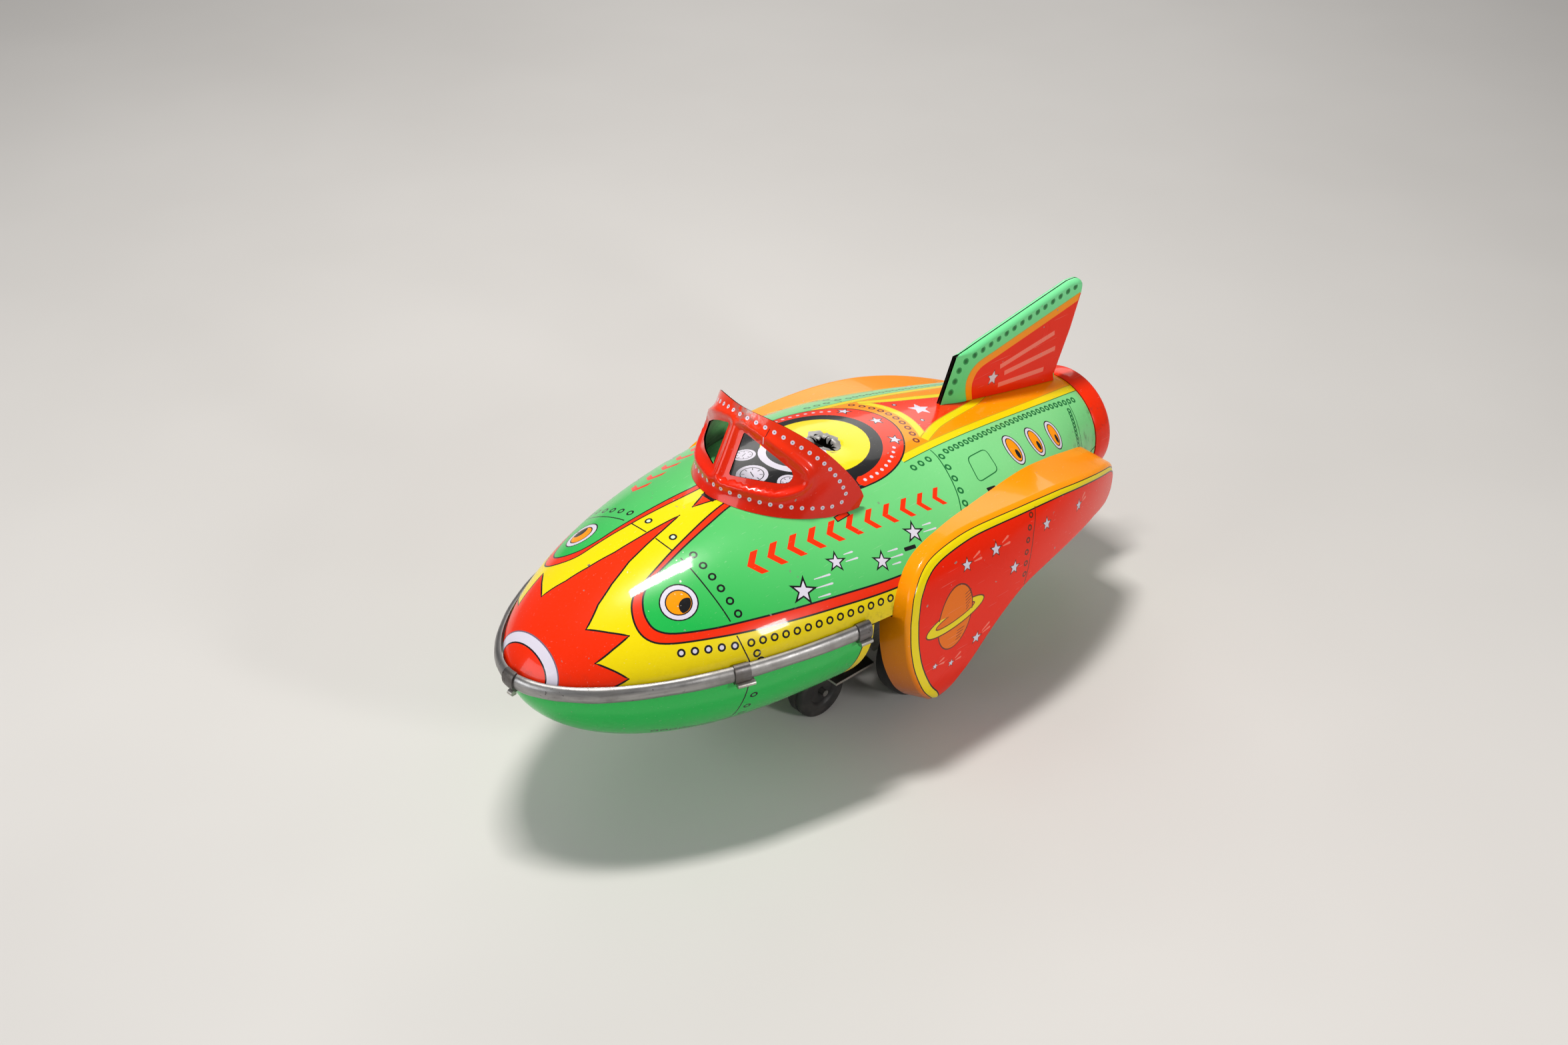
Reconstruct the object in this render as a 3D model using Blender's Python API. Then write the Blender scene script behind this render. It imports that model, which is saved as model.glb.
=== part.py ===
"""Tin space rocket: a friction-drive lithographed toy, as separate sub-parts.

Metres, +Z up, nose towards -Y, the pilot's left hand towards +X. The origin is on the
ground under the middle of the toy. Lengths below are in millimetres until make_mesh.
"""
import math

import bmesh
import bpy
from mathutils import Vector

MM = 0.001

# Hull: the seam plane is level over the front and drops towards the tail tube.
SEAM_Z = 40.0
NOSE_Y = -86.5
TAIL_Y = 82.5
TAIL_RADIUS = 14.2
SEAM_DROP = 6.0
WIDEST_Y = 5.0
HALF_WIDTH = 37.2
HIGHEST_Y = -10.0
UPPER_HEIGHT = 23.0
DEEPEST_Y = -35.0
LOWER_DEPTH = 28.0
BELLY_DEPTH = 20.0
NOSE_WIDTH_POWER = 0.54
TAIL_WIDTH_POWER = 1.2
NOSE_RISE_POWER = 0.62
TAIL_RISE_POWERS = (1.25, 0.8)
NOSE_DROP_POWER = 0.52
CROWN_POWER = 1.87
ROUND_POWER = 2.0
TIN = 0.5
GAP = 0.3
BOWL_END_Y = -18.0
BELLY_START_Y = 27.0
COCKPIT_HOLE = (0.0, -1.2, 4.2)
COCKPIT_HOLE_SHAPE = 0.7
COCKPIT_HOLE_SIDES = 14
COCKPIT_CUT = (50.0, 70.0)
NOSE_GAP = 0.1
UPPER_GRID = (28, 20)
LOWER_GRID = (18, 16)
BELLY_GRID = (9, 12)

# Seam trim and its clips.
TRIM_END_Y = -20.0
TRIM_STEPS = 18
TRIM_CROWDING = 1.15
TRIM_PROFILE = [(0.3, -1.9), (0.9, -1.75), (1.5, -1.1), (1.75, 0.0), (1.5, 1.1), (0.9, 1.75), (0.3, 1.9)]
CLIP_PROFILE = [(0.45, 2.6), (1.3, 2.5), (2.05, 1.6), (2.4, 0.0), (2.05, -1.6), (1.3, -2.5), (0.45, -2.6),
                (0.45, -2.2), (1.1, -2.15), (1.8, -1.35), (2.05, 0.0), (1.8, 1.35), (1.1, 2.15), (0.45, 2.2)]
CLIP_HALF_LENGTH = 2.3
CLIP_NOSE_SHARE = 0.055
CLIP_MID_Y = -50.6
CLIP_REAR_Y = -21.5

# Windshield: an upright wrap that leans back, cut from one sheet.
SHIELD_A = 20.9
SHIELD_B = 25.0
SHIELD_Y = -8.5
SHIELD_POWER = 1.95
SHIELD_HEIGHT = 20.2
SHIELD_LEAN = math.radians(27.2)
SHIELD_LIFT = 0.7
SHIELD_TIN = 0.4
SHIELD_END_RISE = 1.5
SHIELD_TOP_POWERS = (3.1, 0.44)
SHIELD_ANGLES = [0, 5, 10, 18, 27, 36, 43, 50, 60, 70, 80, 89]
WINDOW_ANGLES = (5, 36)
WINDOW_X = 13.3
WINDOW_LOW = (0.26, 0.18)
WINDOW_HIGH = (0.75, -0.12)

# Fin, in the (Y, Z) plane.
FIN_OUTLINE = [(38.0, 57.6), (42.6, 68.3), (50.0, 69.7), (60.0, 71.5), (72.0, 73.7), (82.0, 75.5),
               (85.6, 75.2), (87.4, 73.6), (87.3, 71.0), (84.4, 62.0), (79.2, 49.6)]
FIN_HALF_THICKNESS = 1.5
FIN_TIN = 0.4
FIN_RIM_X = 0.15
FIN_BASE_LIFT = 0.5
FIN_BASE_STEPS = 6

# Side pods.
POD_X = 40.0
POD_LEAN = 3.7
POD_MID_Z = 29.0
POD_REACH_Z = 21.0
POD_TAPER_Y = 18.0
POD_TAPER = 0.0042
POD_DEPTH = 7.0
POD_CENTRE = (22.0, 32.0)
POD_FACE_SHARES = (0.3, 0.65, 0.94)
POD_OUTLINE = [(-11.2, 39.4), (-10.6, 42.5), (-9.2, 45.3), (-6.0, 48.4), (-0.8, 50.4), (9.0, 51.4), (19.4, 51.2),
               (30.2, 50.3), (38.5, 49.2), (45.9, 47.8), (56.5, 45.0), (66.9, 41.5), (72.3, 39.2),
               (75.2, 36.6), (75.8, 33.2), (74.6, 30.1), (71.4, 28.7), (66.0, 29.4), (60.1, 30.4),
               (46.2, 31.4), (36.0, 31.1), (28.0, 29.7), (21.4, 26.2), (15.4, 21.2), (9.5, 14.4),
               (5.8, 9.8), (2.2, 8.2), (-0.9, 10.8), (-5.5, 16.3), (-9.1, 23.6), (-10.9, 30.8),
               (-11.4, 36.8)]
POD_EDGE_RADIUS = 1.3
POD_TOP_SPREAD = 0.8
POD_SKIN_ROOM = 0.35
POD_CORNER_Y = -5.0
POD_CORNER_ROOM = 0.5

# Tail ring.
RING_PROFILE = [(TAIL_RADIUS - 0.9, TAIL_Y + 0.3), (14.5, TAIL_Y + 0.3), (14.75, 84.2), (14.7, 86.2),
                (14.1, 87.7), (13.1, 88.6), (12.1, 88.9), (11.3, 88.5), (10.9, 87.4), (10.7, 84.9),
                (2.0, 84.9), (2.0, 84.3), (11.2, 84.3), (12.6, 84.0)]

# Drive: rear wheels, gear train, flywheel.
AXLE_Y = 11.0
WHEEL_RADIUS = 13.0
WHEEL_WIDTH = 5.0
WHEEL_X = 23.5
AXLE_RADIUS = 1.0
SHAFT_RADIUS = 0.8
RUNNING_CLEARANCE = 0.05
MODULE = 0.5
DRIVE_TEETH = 36
PINION_TEETH = 12
WHEEL_GEAR_TEETH = 28
FLY_PINION_TEETH = 10
COUNTER_ANGLE = math.radians(60.0)
FLY_ANGLE = math.radians(110.0)
TOOTH_SHAPE = [(-1.05, -0.37), (0.0, -0.215), (0.75, -0.09), (0.75, 0.09), (0.0, 0.215), (-1.05, 0.37)]
GEAR_THICKNESS = 1.4
PINION_EXTRA = 0.6
DRIVE_GEAR_X = 8.0
COUNTER_GEAR_X = 5.2
FLYWHEEL_RADIUS = 8.0
FLYWHEEL_WIDTH = 7.0
FLYWHEEL_X = -3.5
FLYWHEEL_RIM = 1.6
FLYWHEEL_DISH = 1.0
TYRE_SHARE = 0.62
HUB_BOSS_RADIUS = 2.4
HUB_HALF_TIN = 0.5
AXLE_OVERHANG = 1.0
SHAFT_OVERHANG = 0.8
PLATE_X = 11.0
PLATE_TIN = 0.8
PLATE_OUTLINE = [(2.0, 25.0), (8.0, 5.0), (25.5, 5.0), (25.5, 44.0), (2.0, 44.0)]
PILLARS = {"frame_pillar_front": (4.6, 29.0),
           "frame_pillar_top": (21.7, 39.0),
           "frame_pillar_low": (22.9, 11.2)}
PILLAR_RADIUS = 1.2
STRAPS = {"frame_strap_front": (4.0, 9.0), "frame_strap_rear": (18.0, 23.0)}
STRAP_CLEARANCE = 0.9
STRAP_TAB = 6.0

# Small front wheels.
FRONT_Y = -13.5
FRONT_RADIUS = 7.0
FRONT_WIDTH = 5.0
FRONT_X = 13.8
FRONT_SHAFT_RADIUS = 0.8
EAR_X = 9.4
BRACKET_Z = 15.2
BRACKET_TIN = 0.6
BRACKET_OUTLINE = [(-24.0, -17.0), (24.0, -17.0), (24.0, -5.0), (17.0, -4.0), (17.0, 1.6), (-17.0, 1.6),
                   (-17.0, -4.0), (-24.0, -5.0)]
EAR_OUTLINE = [(-4.0, BRACKET_Z - GAP), (-2.4, 5.6), (0.0, 4.6), (2.4, 5.6), (4.0, BRACKET_Z - GAP)]
FRONT_HUB_RADIUS = 3.4
FRONT_HUB_DISH = 0.8

ROUND = 24
SHAFT_SIDES = 16

GREEN = (0.17, 0.62, 0.28)
RED = (0.80, 0.06, 0.02)
ORANGE = (0.90, 0.32, 0.02)
BARE_TIN = (0.55, 0.53, 0.50)
DARK_STEEL = (0.22, 0.21, 0.20)
BRASS = (0.62, 0.46, 0.18)
BLACK = (0.02, 0.02, 0.02)
LEAD_GREY = (0.30, 0.30, 0.31)


def smooth_step(value):
    value = min(max(value, 0.0), 1.0)
    return value * value * (3.0 - 2.0 * value)


def half_width(y):
    """Half width of the hull on its seam."""
    if y < WIDEST_Y:
        part = (WIDEST_Y - y) / (WIDEST_Y - NOSE_Y)
        return HALF_WIDTH * max(1.0 - part ** 2, 0.0) ** NOSE_WIDTH_POWER
    part = (y - WIDEST_Y) / (TAIL_Y - WIDEST_Y)
    return TAIL_RADIUS + (HALF_WIDTH - TAIL_RADIUS) * (1.0 - part ** 2) ** TAIL_WIDTH_POWER


def upper_height(y):
    """Rise of the hull's top line above its seam."""
    if y < HIGHEST_Y:
        part = (HIGHEST_Y - y) / (HIGHEST_Y - NOSE_Y)
        return UPPER_HEIGHT * max(1.0 - part ** 2, 0.0) ** NOSE_RISE_POWER
    part = (y - HIGHEST_Y) / (TAIL_Y - HIGHEST_Y)
    inner, outer = TAIL_RISE_POWERS
    return TAIL_RADIUS + (UPPER_HEIGHT - TAIL_RADIUS) * (1.0 - part ** inner) ** outer


def lower_depth(y):
    """Drop of the hull's keel line below its seam."""
    if y < DEEPEST_Y:
        part = (DEEPEST_Y - y) / (DEEPEST_Y - NOSE_Y)
        return LOWER_DEPTH * max(1.0 - part ** 2, 0.0) ** NOSE_DROP_POWER
    if y < BELLY_START_Y:
        return LOWER_DEPTH
    fade = 1.0 - smooth_step((y - BELLY_START_Y) / (TAIL_Y - BELLY_START_Y))
    return TAIL_RADIUS + (BELLY_DEPTH - TAIL_RADIUS) * fade


def seam_height(y):
    return SEAM_Z - SEAM_DROP * smooth_step(y / TAIL_Y)


def section_power(y):
    """Exponent of the superellipse that a hull section follows."""
    return CROWN_POWER + (ROUND_POWER - CROWN_POWER) * smooth_step(y / TAIL_Y)


def hull_x(y, z):
    """Half width of the hull's outer skin at a height, or 0 outside it."""
    y = min(max(y, NOSE_Y), TAIL_Y)
    rise = z - seam_height(y)
    reach = upper_height(y) if rise > 0 else lower_depth(y)
    power = section_power(y) if rise > 0 else ROUND_POWER
    return half_width(y) * max(1.0 - min(abs(rise) / reach, 1.0) ** power, 0.0) ** (1.0 / power)


def hull_top(x, y):
    """Height of the hull's outer skin above the ground."""
    power = section_power(y)
    inside = max(1.0 - min(abs(x) / half_width(y), 1.0) ** power, 0.0)
    return seam_height(y) + upper_height(y) * inside ** (1.0 / power)


def clear_scene():
    for item in list(bpy.data.objects):
        bpy.data.objects.remove(item, do_unlink=True)


def material(name, colour, roughness, metallic):
    made = bpy.data.materials.new(name)
    made.use_nodes = True
    shader = made.node_tree.nodes["Principled BSDF"]
    shader.inputs["Base Color"].default_value = (*colour, 1.0)
    shader.inputs["Roughness"].default_value = roughness
    shader.inputs["Metallic"].default_value = metallic
    made.diffuse_color = (*colour, 1.0)
    return made


PAINT = (0.25, 0.0)
STEEL = (0.38, 1.0)
RUBBER = (0.7, 0.0)


def circle(radius, sides):
    """Corners of a circle about the origin, the first one along its first axis."""
    steps = [2.0 * math.pi * i / sides for i in range(sides)]
    return [(radius * math.cos(angle), radius * math.sin(angle)) for angle in steps]


def make_mesh(name, points, faces, colour, finish, parent=None):
    """Make one named object from points in millimetres, relative to its parent."""
    mesh = bpy.data.meshes.new(name)
    mesh.from_pydata([(x * MM, y * MM, z * MM) for x, y, z in points], [], faces)
    work = bmesh.new()
    work.from_mesh(mesh)
    bmesh.ops.remove_doubles(work, verts=work.verts, dist=0.001 * MM)
    bmesh.ops.recalc_face_normals(work, faces=work.faces)
    work.to_mesh(mesh)
    work.free()
    mesh.shade_smooth()
    mesh.set_sharp_from_angle(angle=math.radians(35.0))
    mesh.materials.append(material(name + "_finish", colour, *finish))
    made = bpy.data.objects.new(name, mesh)
    bpy.context.collection.objects.link(made)
    if parent is not None:
        made.parent = parent
    return made


def thicken(made, thickness, even=True):
    """Give an open sheet its thickness, inwards from its faces."""
    solid = made.modifiers.new("sheet", "SOLIDIFY")
    solid.thickness = thickness * MM
    solid.offset = -1.0
    solid.use_even_offset = even
    return made


def flip_if_inward(made, outward):
    """Turn an open sheet's faces so that together they look along the given direction."""
    total = sum(Vector(face.normal).dot(Vector(outward)) * face.area for face in made.data.polygons)
    if total < 0:
        made.data.flip_normals()


def empty(name, y, z):
    made = bpy.data.objects.new(name, None)
    made.location = (0.0, y * MM, z * MM)
    bpy.context.collection.objects.link(made)
    return made


def grid_faces(rows, columns):
    return [(i * columns + j, i * columns + j + 1, (i + 1) * columns + j + 1, (i + 1) * columns + j)
            for i in range(rows - 1) for j in range(columns - 1)]


def stations(start, end, count):
    """Places along the hull, closer together towards the nose."""
    low = math.sqrt(start - NOSE_Y)
    high = math.sqrt(end - NOSE_Y)
    return [NOSE_Y + (low + (high - low) * i / (count - 1)) ** 2 for i in range(count)]


def shell_points(y, girth, reach, sign):
    """One section of a hull shell, from the left seam over to the right seam."""
    power = section_power(y) if sign > 0 else ROUND_POWER
    points = []
    for j in range(girth + 1):
        angle = math.pi * j / girth
        across = half_width(y) * math.copysign(abs(math.cos(angle)) ** (2.0 / power), math.cos(angle))
        along = reach * math.sin(angle) ** (2.0 / power) if 0 < j < girth else 0.0
        points.append((across, y, seam_height(y) + sign * (along + GAP / 2)))
    return points


def hull_shell(name, start, end, grid, sign, colour):
    """One pressed shell of the hull, above the seam (sign 1) or below it (sign -1)."""
    reach = upper_height if sign > 0 else lower_depth
    count, girth = grid
    points = []
    for y in stations(start, end, count):
        points += shell_points(y, girth, reach(y), sign)
    shell = make_mesh(name, points, grid_faces(count, girth + 1), colour, PAINT)
    flip_if_inward(shell, (0, 0, sign))
    return thicken(shell, TIN)


def cylinder_points(radius, x0, x1, sides):
    """Two rings about the X axis, with a corner straight down."""
    points = []
    for x in (x0, x1):
        for i in range(sides):
            angle = 2.0 * math.pi * i / sides
            points.append((x, radius * math.sin(angle), -radius * math.cos(angle)))
    return points


def cylinder(name, radius, x0, x1, sides, colour, finish, parent):
    faces = [tuple(range(sides))[::-1], tuple(range(sides, 2 * sides))]
    faces += [(i, (i + 1) % sides, sides + (i + 1) % sides, sides + i) for i in range(sides)]
    return make_mesh(name, cylinder_points(radius, x0, x1, sides), faces, colour, finish, parent)


def turned(name, profile, sides, colour, finish, parent):
    """Turn a closed (radius, x) profile about the X axis."""
    count = len(profile)
    points = []
    for i in range(sides):
        angle = 2.0 * math.pi * i / sides
        points += [(x, radius * math.sin(angle), -radius * math.cos(angle)) for radius, x in profile]
    faces = [(i * count + j, i * count + (j + 1) % count, (i + 1) % sides * count + (j + 1) % count,
              (i + 1) % sides * count + j) for i in range(sides) for j in range(count)]
    return make_mesh(name, points, faces, colour, finish, parent)


def build_upper_hull():
    shell = hull_shell("upper_hull", NOSE_Y + NOSE_GAP, TAIL_Y, UPPER_GRID, 1, GREEN)
    x, y, radius = COCKPIT_HOLE
    sides = COCKPIT_HOLE_SIDES
    points = []
    for z in COCKPIT_CUT:
        for across, along in circle(radius, sides):
            points.append((x + across, y + along * COCKPIT_HOLE_SHAPE, z))
    faces = [tuple(range(sides))[::-1], tuple(range(sides, 2 * sides))]
    faces += [(i, (i + 1) % sides, sides + (i + 1) % sides, sides + i) for i in range(sides)]
    cutter = make_mesh("cockpit_cutter", points, faces, BLACK, PAINT)
    cutter.hide_render = True
    cutter.display_type = "WIRE"
    cut = shell.modifiers.new("cockpit", "BOOLEAN")
    cut.operation = "DIFFERENCE"
    cut.solver = "EXACT"
    cut.object = cutter
    return shell


def seam_path(s):
    """Point of the seam line; s runs from -1 at the right rear clip to 1 at the left one."""
    y = NOSE_Y + (TRIM_END_Y - NOSE_Y) * s * s
    return Vector((math.copysign(half_width(y), s) if s else 0.0, y, SEAM_Z))


def seam_normal(s):
    step = 0.004
    ahead = seam_path(min(s + step, 1.0)) - seam_path(max(s - step, -1.0))
    return Vector((ahead.y, -ahead.x, 0.0)).normalized()


def sweep_on_seam(name, profile, parameters, colour):
    """Sweep a closed (outwards, up) profile along part of the seam."""
    count = len(profile)
    rows = len(parameters)
    points = []
    for s in parameters:
        base = seam_path(s)
        normal = seam_normal(s)
        points += [(base.x + normal.x * out, base.y + normal.y * out, base.z + up) for out, up in profile]
    faces = []
    for i in range(rows - 1):
        low, high = i * count, (i + 1) * count
        faces += [(low + j, low + (j + 1) % count, high + (j + 1) % count, high + j) for j in range(count)]
    faces += [tuple(range(count)), tuple(range((rows - 1) * count, rows * count))[::-1]]
    make_mesh(name, points, faces, colour, STEEL)


def seam_parameter(y):
    return math.sqrt((y - NOSE_Y) / (TRIM_END_Y - NOSE_Y))


def build_trim():
    half = [(i / TRIM_STEPS) ** TRIM_CROWDING for i in range(1, TRIM_STEPS + 1)]
    parameters = [-s for s in reversed(half)] + [0.0] + half
    sweep_on_seam("seam_trim", TRIM_PROFILE, parameters, BARE_TIN)
    steps = [CLIP_NOSE_SHARE * i / 2 for i in range(-2, 3)]
    sweep_on_seam("trim_clip_nose", CLIP_PROFILE, steps, DARK_STEEL)
    for where, y in (("mid", CLIP_MID_Y), ("rear", CLIP_REAR_Y)):
        low = seam_parameter(y - CLIP_HALF_LENGTH)
        high = min(seam_parameter(y + CLIP_HALF_LENGTH), 1.0)
        steps = [low, (low + high) / 2, high]
        sweep_on_seam("trim_clip_%s_left" % where, CLIP_PROFILE, steps, DARK_STEEL)
        sweep_on_seam("trim_clip_%s_right" % where, CLIP_PROFILE, [-s for s in reversed(steps)], DARK_STEEL)


def shield_base(angle):
    power = 2.0 / SHIELD_POWER
    x = SHIELD_A * math.copysign(abs(math.sin(angle)) ** power, angle)
    y = SHIELD_Y - SHIELD_B * math.cos(angle) ** power
    return x, y


def shield_rise(x):
    """Length of the windshield's sheet above its base at a place across."""
    inner, outer = SHIELD_TOP_POWERS
    crest = max(1.0 - (abs(x) / SHIELD_A) ** inner, 0.0) ** outer
    return SHIELD_END_RISE + (SHIELD_HEIGHT - SHIELD_END_RISE) * crest


def build_windshield():
    angles = [-angle for angle in reversed(SHIELD_ANGLES[1:])] + SHIELD_ANGLES
    points = []
    for degrees in angles:
        x, y = shield_base(math.radians(degrees))
        slant = min(abs(x) / WINDOW_X, 1.0)
        low = WINDOW_LOW[0] + WINDOW_LOW[1] * slant
        high = WINDOW_HIGH[0] + WINDOW_HIGH[1] * slant
        for share in (0.0, low, high, 1.0):
            rise = share * shield_rise(x)
            points.append((x, y + rise * math.sin(SHIELD_LEAN), hull_top(x, y) + SHIELD_LIFT
                           + rise * math.cos(SHIELD_LEAN)))
    faces = []
    for index, face in enumerate(grid_faces(len(angles), 4)):
        column, row = divmod(index, 3)
        nearest = min(abs(angles[column]), abs(angles[column + 1]))
        if row != 1 or not WINDOW_ANGLES[0] <= nearest < WINDOW_ANGLES[1]:
            faces.append(face)
    shield = make_mesh("windshield", points, faces, RED, PAINT)
    flip_if_inward(shield, (0, -1, 0))
    return thicken(shield, SHIELD_TIN)


def build_fin():
    """Two pressed halves with turned-in rims along the top and the rear."""
    front = FIN_OUTLINE[0][0]
    rear = FIN_OUTLINE[-1][0]
    base = []
    for i in range(1, FIN_BASE_STEPS):
        y = rear + (front - rear) * i / FIN_BASE_STEPS
        base.append((y, hull_top(0.0, y) + FIN_BASE_LIFT))
    for side, name in ((1, "fin_left"), (-1, "fin_right")):
        outline = FIN_OUTLINE + base
        points = [(side * FIN_HALF_THICKNESS, y, z) for y, z in outline]
        rim = FIN_OUTLINE[1:]
        points += [(side * FIN_RIM_X, y, z) for y, z in rim]
        first = len(outline)
        faces = [tuple(range(first))]
        faces += [(i + 1, i + 2, first + i + 1, first + i) for i in range(len(rim) - 1)]
        half = make_mesh(name, points, faces, RED, PAINT)
        flip_if_inward(half, (side, 0, 0))
        thicken(half, FIN_TIN)


def pod_face_x(y, z):
    taper = POD_TAPER * max(y - POD_TAPER_Y, 0.0) ** 2
    return POD_X - taper - POD_LEAN * ((z - POD_MID_Z) / POD_REACH_Z) ** 4


def hull_clearance(y, z):
    """Nearest that a pod's sheet may come to the middle plane, beside the hull's skins."""
    if z < SEAM_Z - 1.0 and y < BELLY_START_Y - 1.0:
        return 0.0
    around = [hull_x(y + ahead, z - below) for ahead in (-1.0, 0.0, 1.0) for below in (0.0, TIN + 0.3)]
    corner = POD_CORNER_ROOM if y < POD_CORNER_Y else 0.0
    return max(around) + GAP + POD_SKIN_ROOM + corner


def pod_rings():
    """Rings of a pod's sheet, from the middle of its face out over the edge and in to the hull."""
    count = len(POD_OUTLINE)
    centre_y, centre_z = POD_CENTRE
    rings = []
    for share in POD_FACE_SHARES:
        ring = []
        for y, z in POD_OUTLINE:
            place = centre_y + (y - centre_y) * share, centre_z + (z - centre_z) * share
            ring.append((pod_face_x(*place), *place))
        rings.append(ring)
    normals = []
    for i in range(count):
        before = POD_OUTLINE[i - 1]
        after = POD_OUTLINE[(i + 1) % count]
        run = math.hypot(after[0] - before[0], after[1] - before[1])
        normals.append(((before[1] - after[1]) / run, (after[0] - before[0]) / run))
    for step in (0.0, 0.5, 1.0):
        angle = step * math.pi / 2
        inset = POD_EDGE_RADIUS * (1.0 - math.sin(angle))
        back = POD_EDGE_RADIUS * (1.0 - math.cos(angle))
        rings.append([(pod_face_x(y, z) - back, y - inset * ny, z - inset * nz)
                      for (y, z), (ny, nz) in zip(POD_OUTLINE, normals)])
    for share in (0.5, 1.0):
        ring = []
        for (y, z), (ny, nz) in zip(POD_OUTLINE, normals):
            face = pod_face_x(y, z)
            spread = POD_TOP_SPREAD * share if nz > 0.5 else 0.0
            skin = hull_clearance(y, z + spread)
            inner = skin if skin > 0.0 else face - POD_DEPTH
            edge = face - POD_EDGE_RADIUS
            ring.append((edge + (inner - edge) * share, y + spread * ny, z + spread * nz))
        rings.append(ring)
    return rings


def build_pods():
    count = len(POD_OUTLINE)
    for side, name in ((1, "pod_left"), (-1, "pod_right")):
        rings = pod_rings()
        points = [(side * pod_face_x(*POD_CENTRE), *POD_CENTRE)]
        for ring in rings:
            points += [(side * x, y, z) for x, y, z in ring]
        faces = [(0, 1 + i, 1 + (i + 1) % count) for i in range(count)]
        for r in range(len(rings) - 1):
            base = 1 + r * count
            faces += [(base + i, base + count + i, base + count + (i + 1) % count, base + (i + 1) % count)
                      for i in range(count)]
        pod = make_mesh(name, points, faces, ORANGE, PAINT)
        flip_if_inward(pod, (side, 0, 0))
        thicken(pod, TIN, even=False)


def build_tail_ring():
    count = len(RING_PROFILE)
    sides = ROUND
    points = []
    for i in range(sides):
        angle = 2.0 * math.pi * i / sides
        points += [(radius * math.cos(angle), y, SEAM_Z - SEAM_DROP + radius * math.sin(angle))
                   for radius, y in RING_PROFILE]
    faces = [(i * count + j, i * count + (j + 1) % count, (i + 1) % sides * count + (j + 1) % count,
              (i + 1) % sides * count + j) for i in range(sides) for j in range(count)]
    make_mesh("tail_ring", points, faces, RED, PAINT)


def punched_plate(name, outline, holes, x, thickness, colour, parent=None):
    """A flat piece across the X axis: an outline and round holes, as (y, z) points."""
    work = bmesh.new()
    layers = []
    for side in (x - thickness / 2, x + thickness / 2):
        rings = [[work.verts.new((side * MM, y * MM, z * MM)) for y, z in ring] for ring in [outline] + holes]
        edges = [work.edges.new((ring[i - 1], ring[i])) for ring in rings for i in range(len(ring))]
        bmesh.ops.triangle_fill(work, use_beauty=True, use_dissolve=False, edges=edges)
        layers.append(rings)
    for low, high in zip(*layers):
        for i in range(len(low)):
            work.faces.new((low[i - 1], low[i], high[i], high[i - 1]))
    bmesh.ops.recalc_face_normals(work, faces=work.faces)
    mesh = bpy.data.meshes.new(name)
    work.to_mesh(mesh)
    work.free()
    mesh.materials.append(material(name + "_finish", colour, *STEEL))
    made = bpy.data.objects.new(name, mesh)
    if parent is not None:
        made.parent = parent
    bpy.context.collection.objects.link(made)


def hole_at(centre, radius):
    """A round hole with a corner straight down, as a shaft has."""
    return [(centre[0] + across, centre[1] - down) for down, across in circle(radius, SHAFT_SIDES)]


def gear(name, teeth, x, thickness, turn, bore, colour, parent):
    """A gear with stub teeth and a round bore, centred on its parent's axis."""
    pitch = MODULE * teeth / 2.0
    tooth = 2.0 * math.pi / teeth
    outline = []
    for i in range(teeth):
        for height, share in TOOTH_SHAPE:
            angle = turn + tooth * (i + share)
            radius = pitch + height * MODULE
            outline.append((radius * math.cos(angle), radius * math.sin(angle)))
    punched_plate(name, outline, [circle(bore, SHAFT_SIDES)], x, thickness, colour, parent)


def polar(origin, distance, angle):
    return origin[0] + distance * math.cos(angle), origin[1] + distance * math.sin(angle)


def mesh_turn(angle, teeth_a, turn_a, teeth_b):
    """Turn of gear b so that its tooth meets a gap of gear a on the line of centres at this angle."""
    pitch_a = 2.0 * math.pi / teeth_a
    offset = (angle - turn_a) / pitch_a
    phase = offset - math.floor(offset)
    pitch_b = 2.0 * math.pi / teeth_b
    return angle + math.pi + (phase - 0.5) * pitch_b


def wheel(name, radius, width, x, parent):
    """A rubber tyre with rounded shoulders."""
    half = width / 2
    one_side = [(radius * TYRE_SHARE, half - 0.6), (radius - 1.2, half), (radius - 0.3, half - 0.7),
                (radius, half - 1.6)]
    profile = [(r, x - out) for r, out in one_side] + [(r, x + out) for r, out in reversed(one_side)]
    turned(name, profile, ROUND, BLACK, RUBBER, parent)


def hub(name, radius, width, x, bore, colour, parent):
    """A pressed wheel disc with a boss, inside its tyre."""
    rim = radius * TYRE_SHARE - GAP
    half = width / 2
    one_side = [(bore, half), (HUB_BOSS_RADIUS, half), (HUB_BOSS_RADIUS, HUB_HALF_TIN), (rim, HUB_HALF_TIN)]
    profile = [(r, x - out) for r, out in one_side] + [(r, x + out) for r, out in reversed(one_side)]
    turned(name, profile, SHAFT_SIDES, colour, STEEL, parent)


def build_flywheel(bore, parent):
    half = FLYWHEEL_WIDTH / 2
    dish = half - FLYWHEEL_DISH
    rim = FLYWHEEL_RADIUS - FLYWHEEL_RIM
    one_side = [(bore, dish), (rim, dish), (rim, half), (FLYWHEEL_RADIUS, half)]
    profile = [(r, FLYWHEEL_X - out) for r, out in one_side]
    profile += [(r, FLYWHEEL_X + out) for r, out in reversed(one_side)]
    turned("flywheel", profile, ROUND, LEAD_GREY, STEEL, parent)


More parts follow.
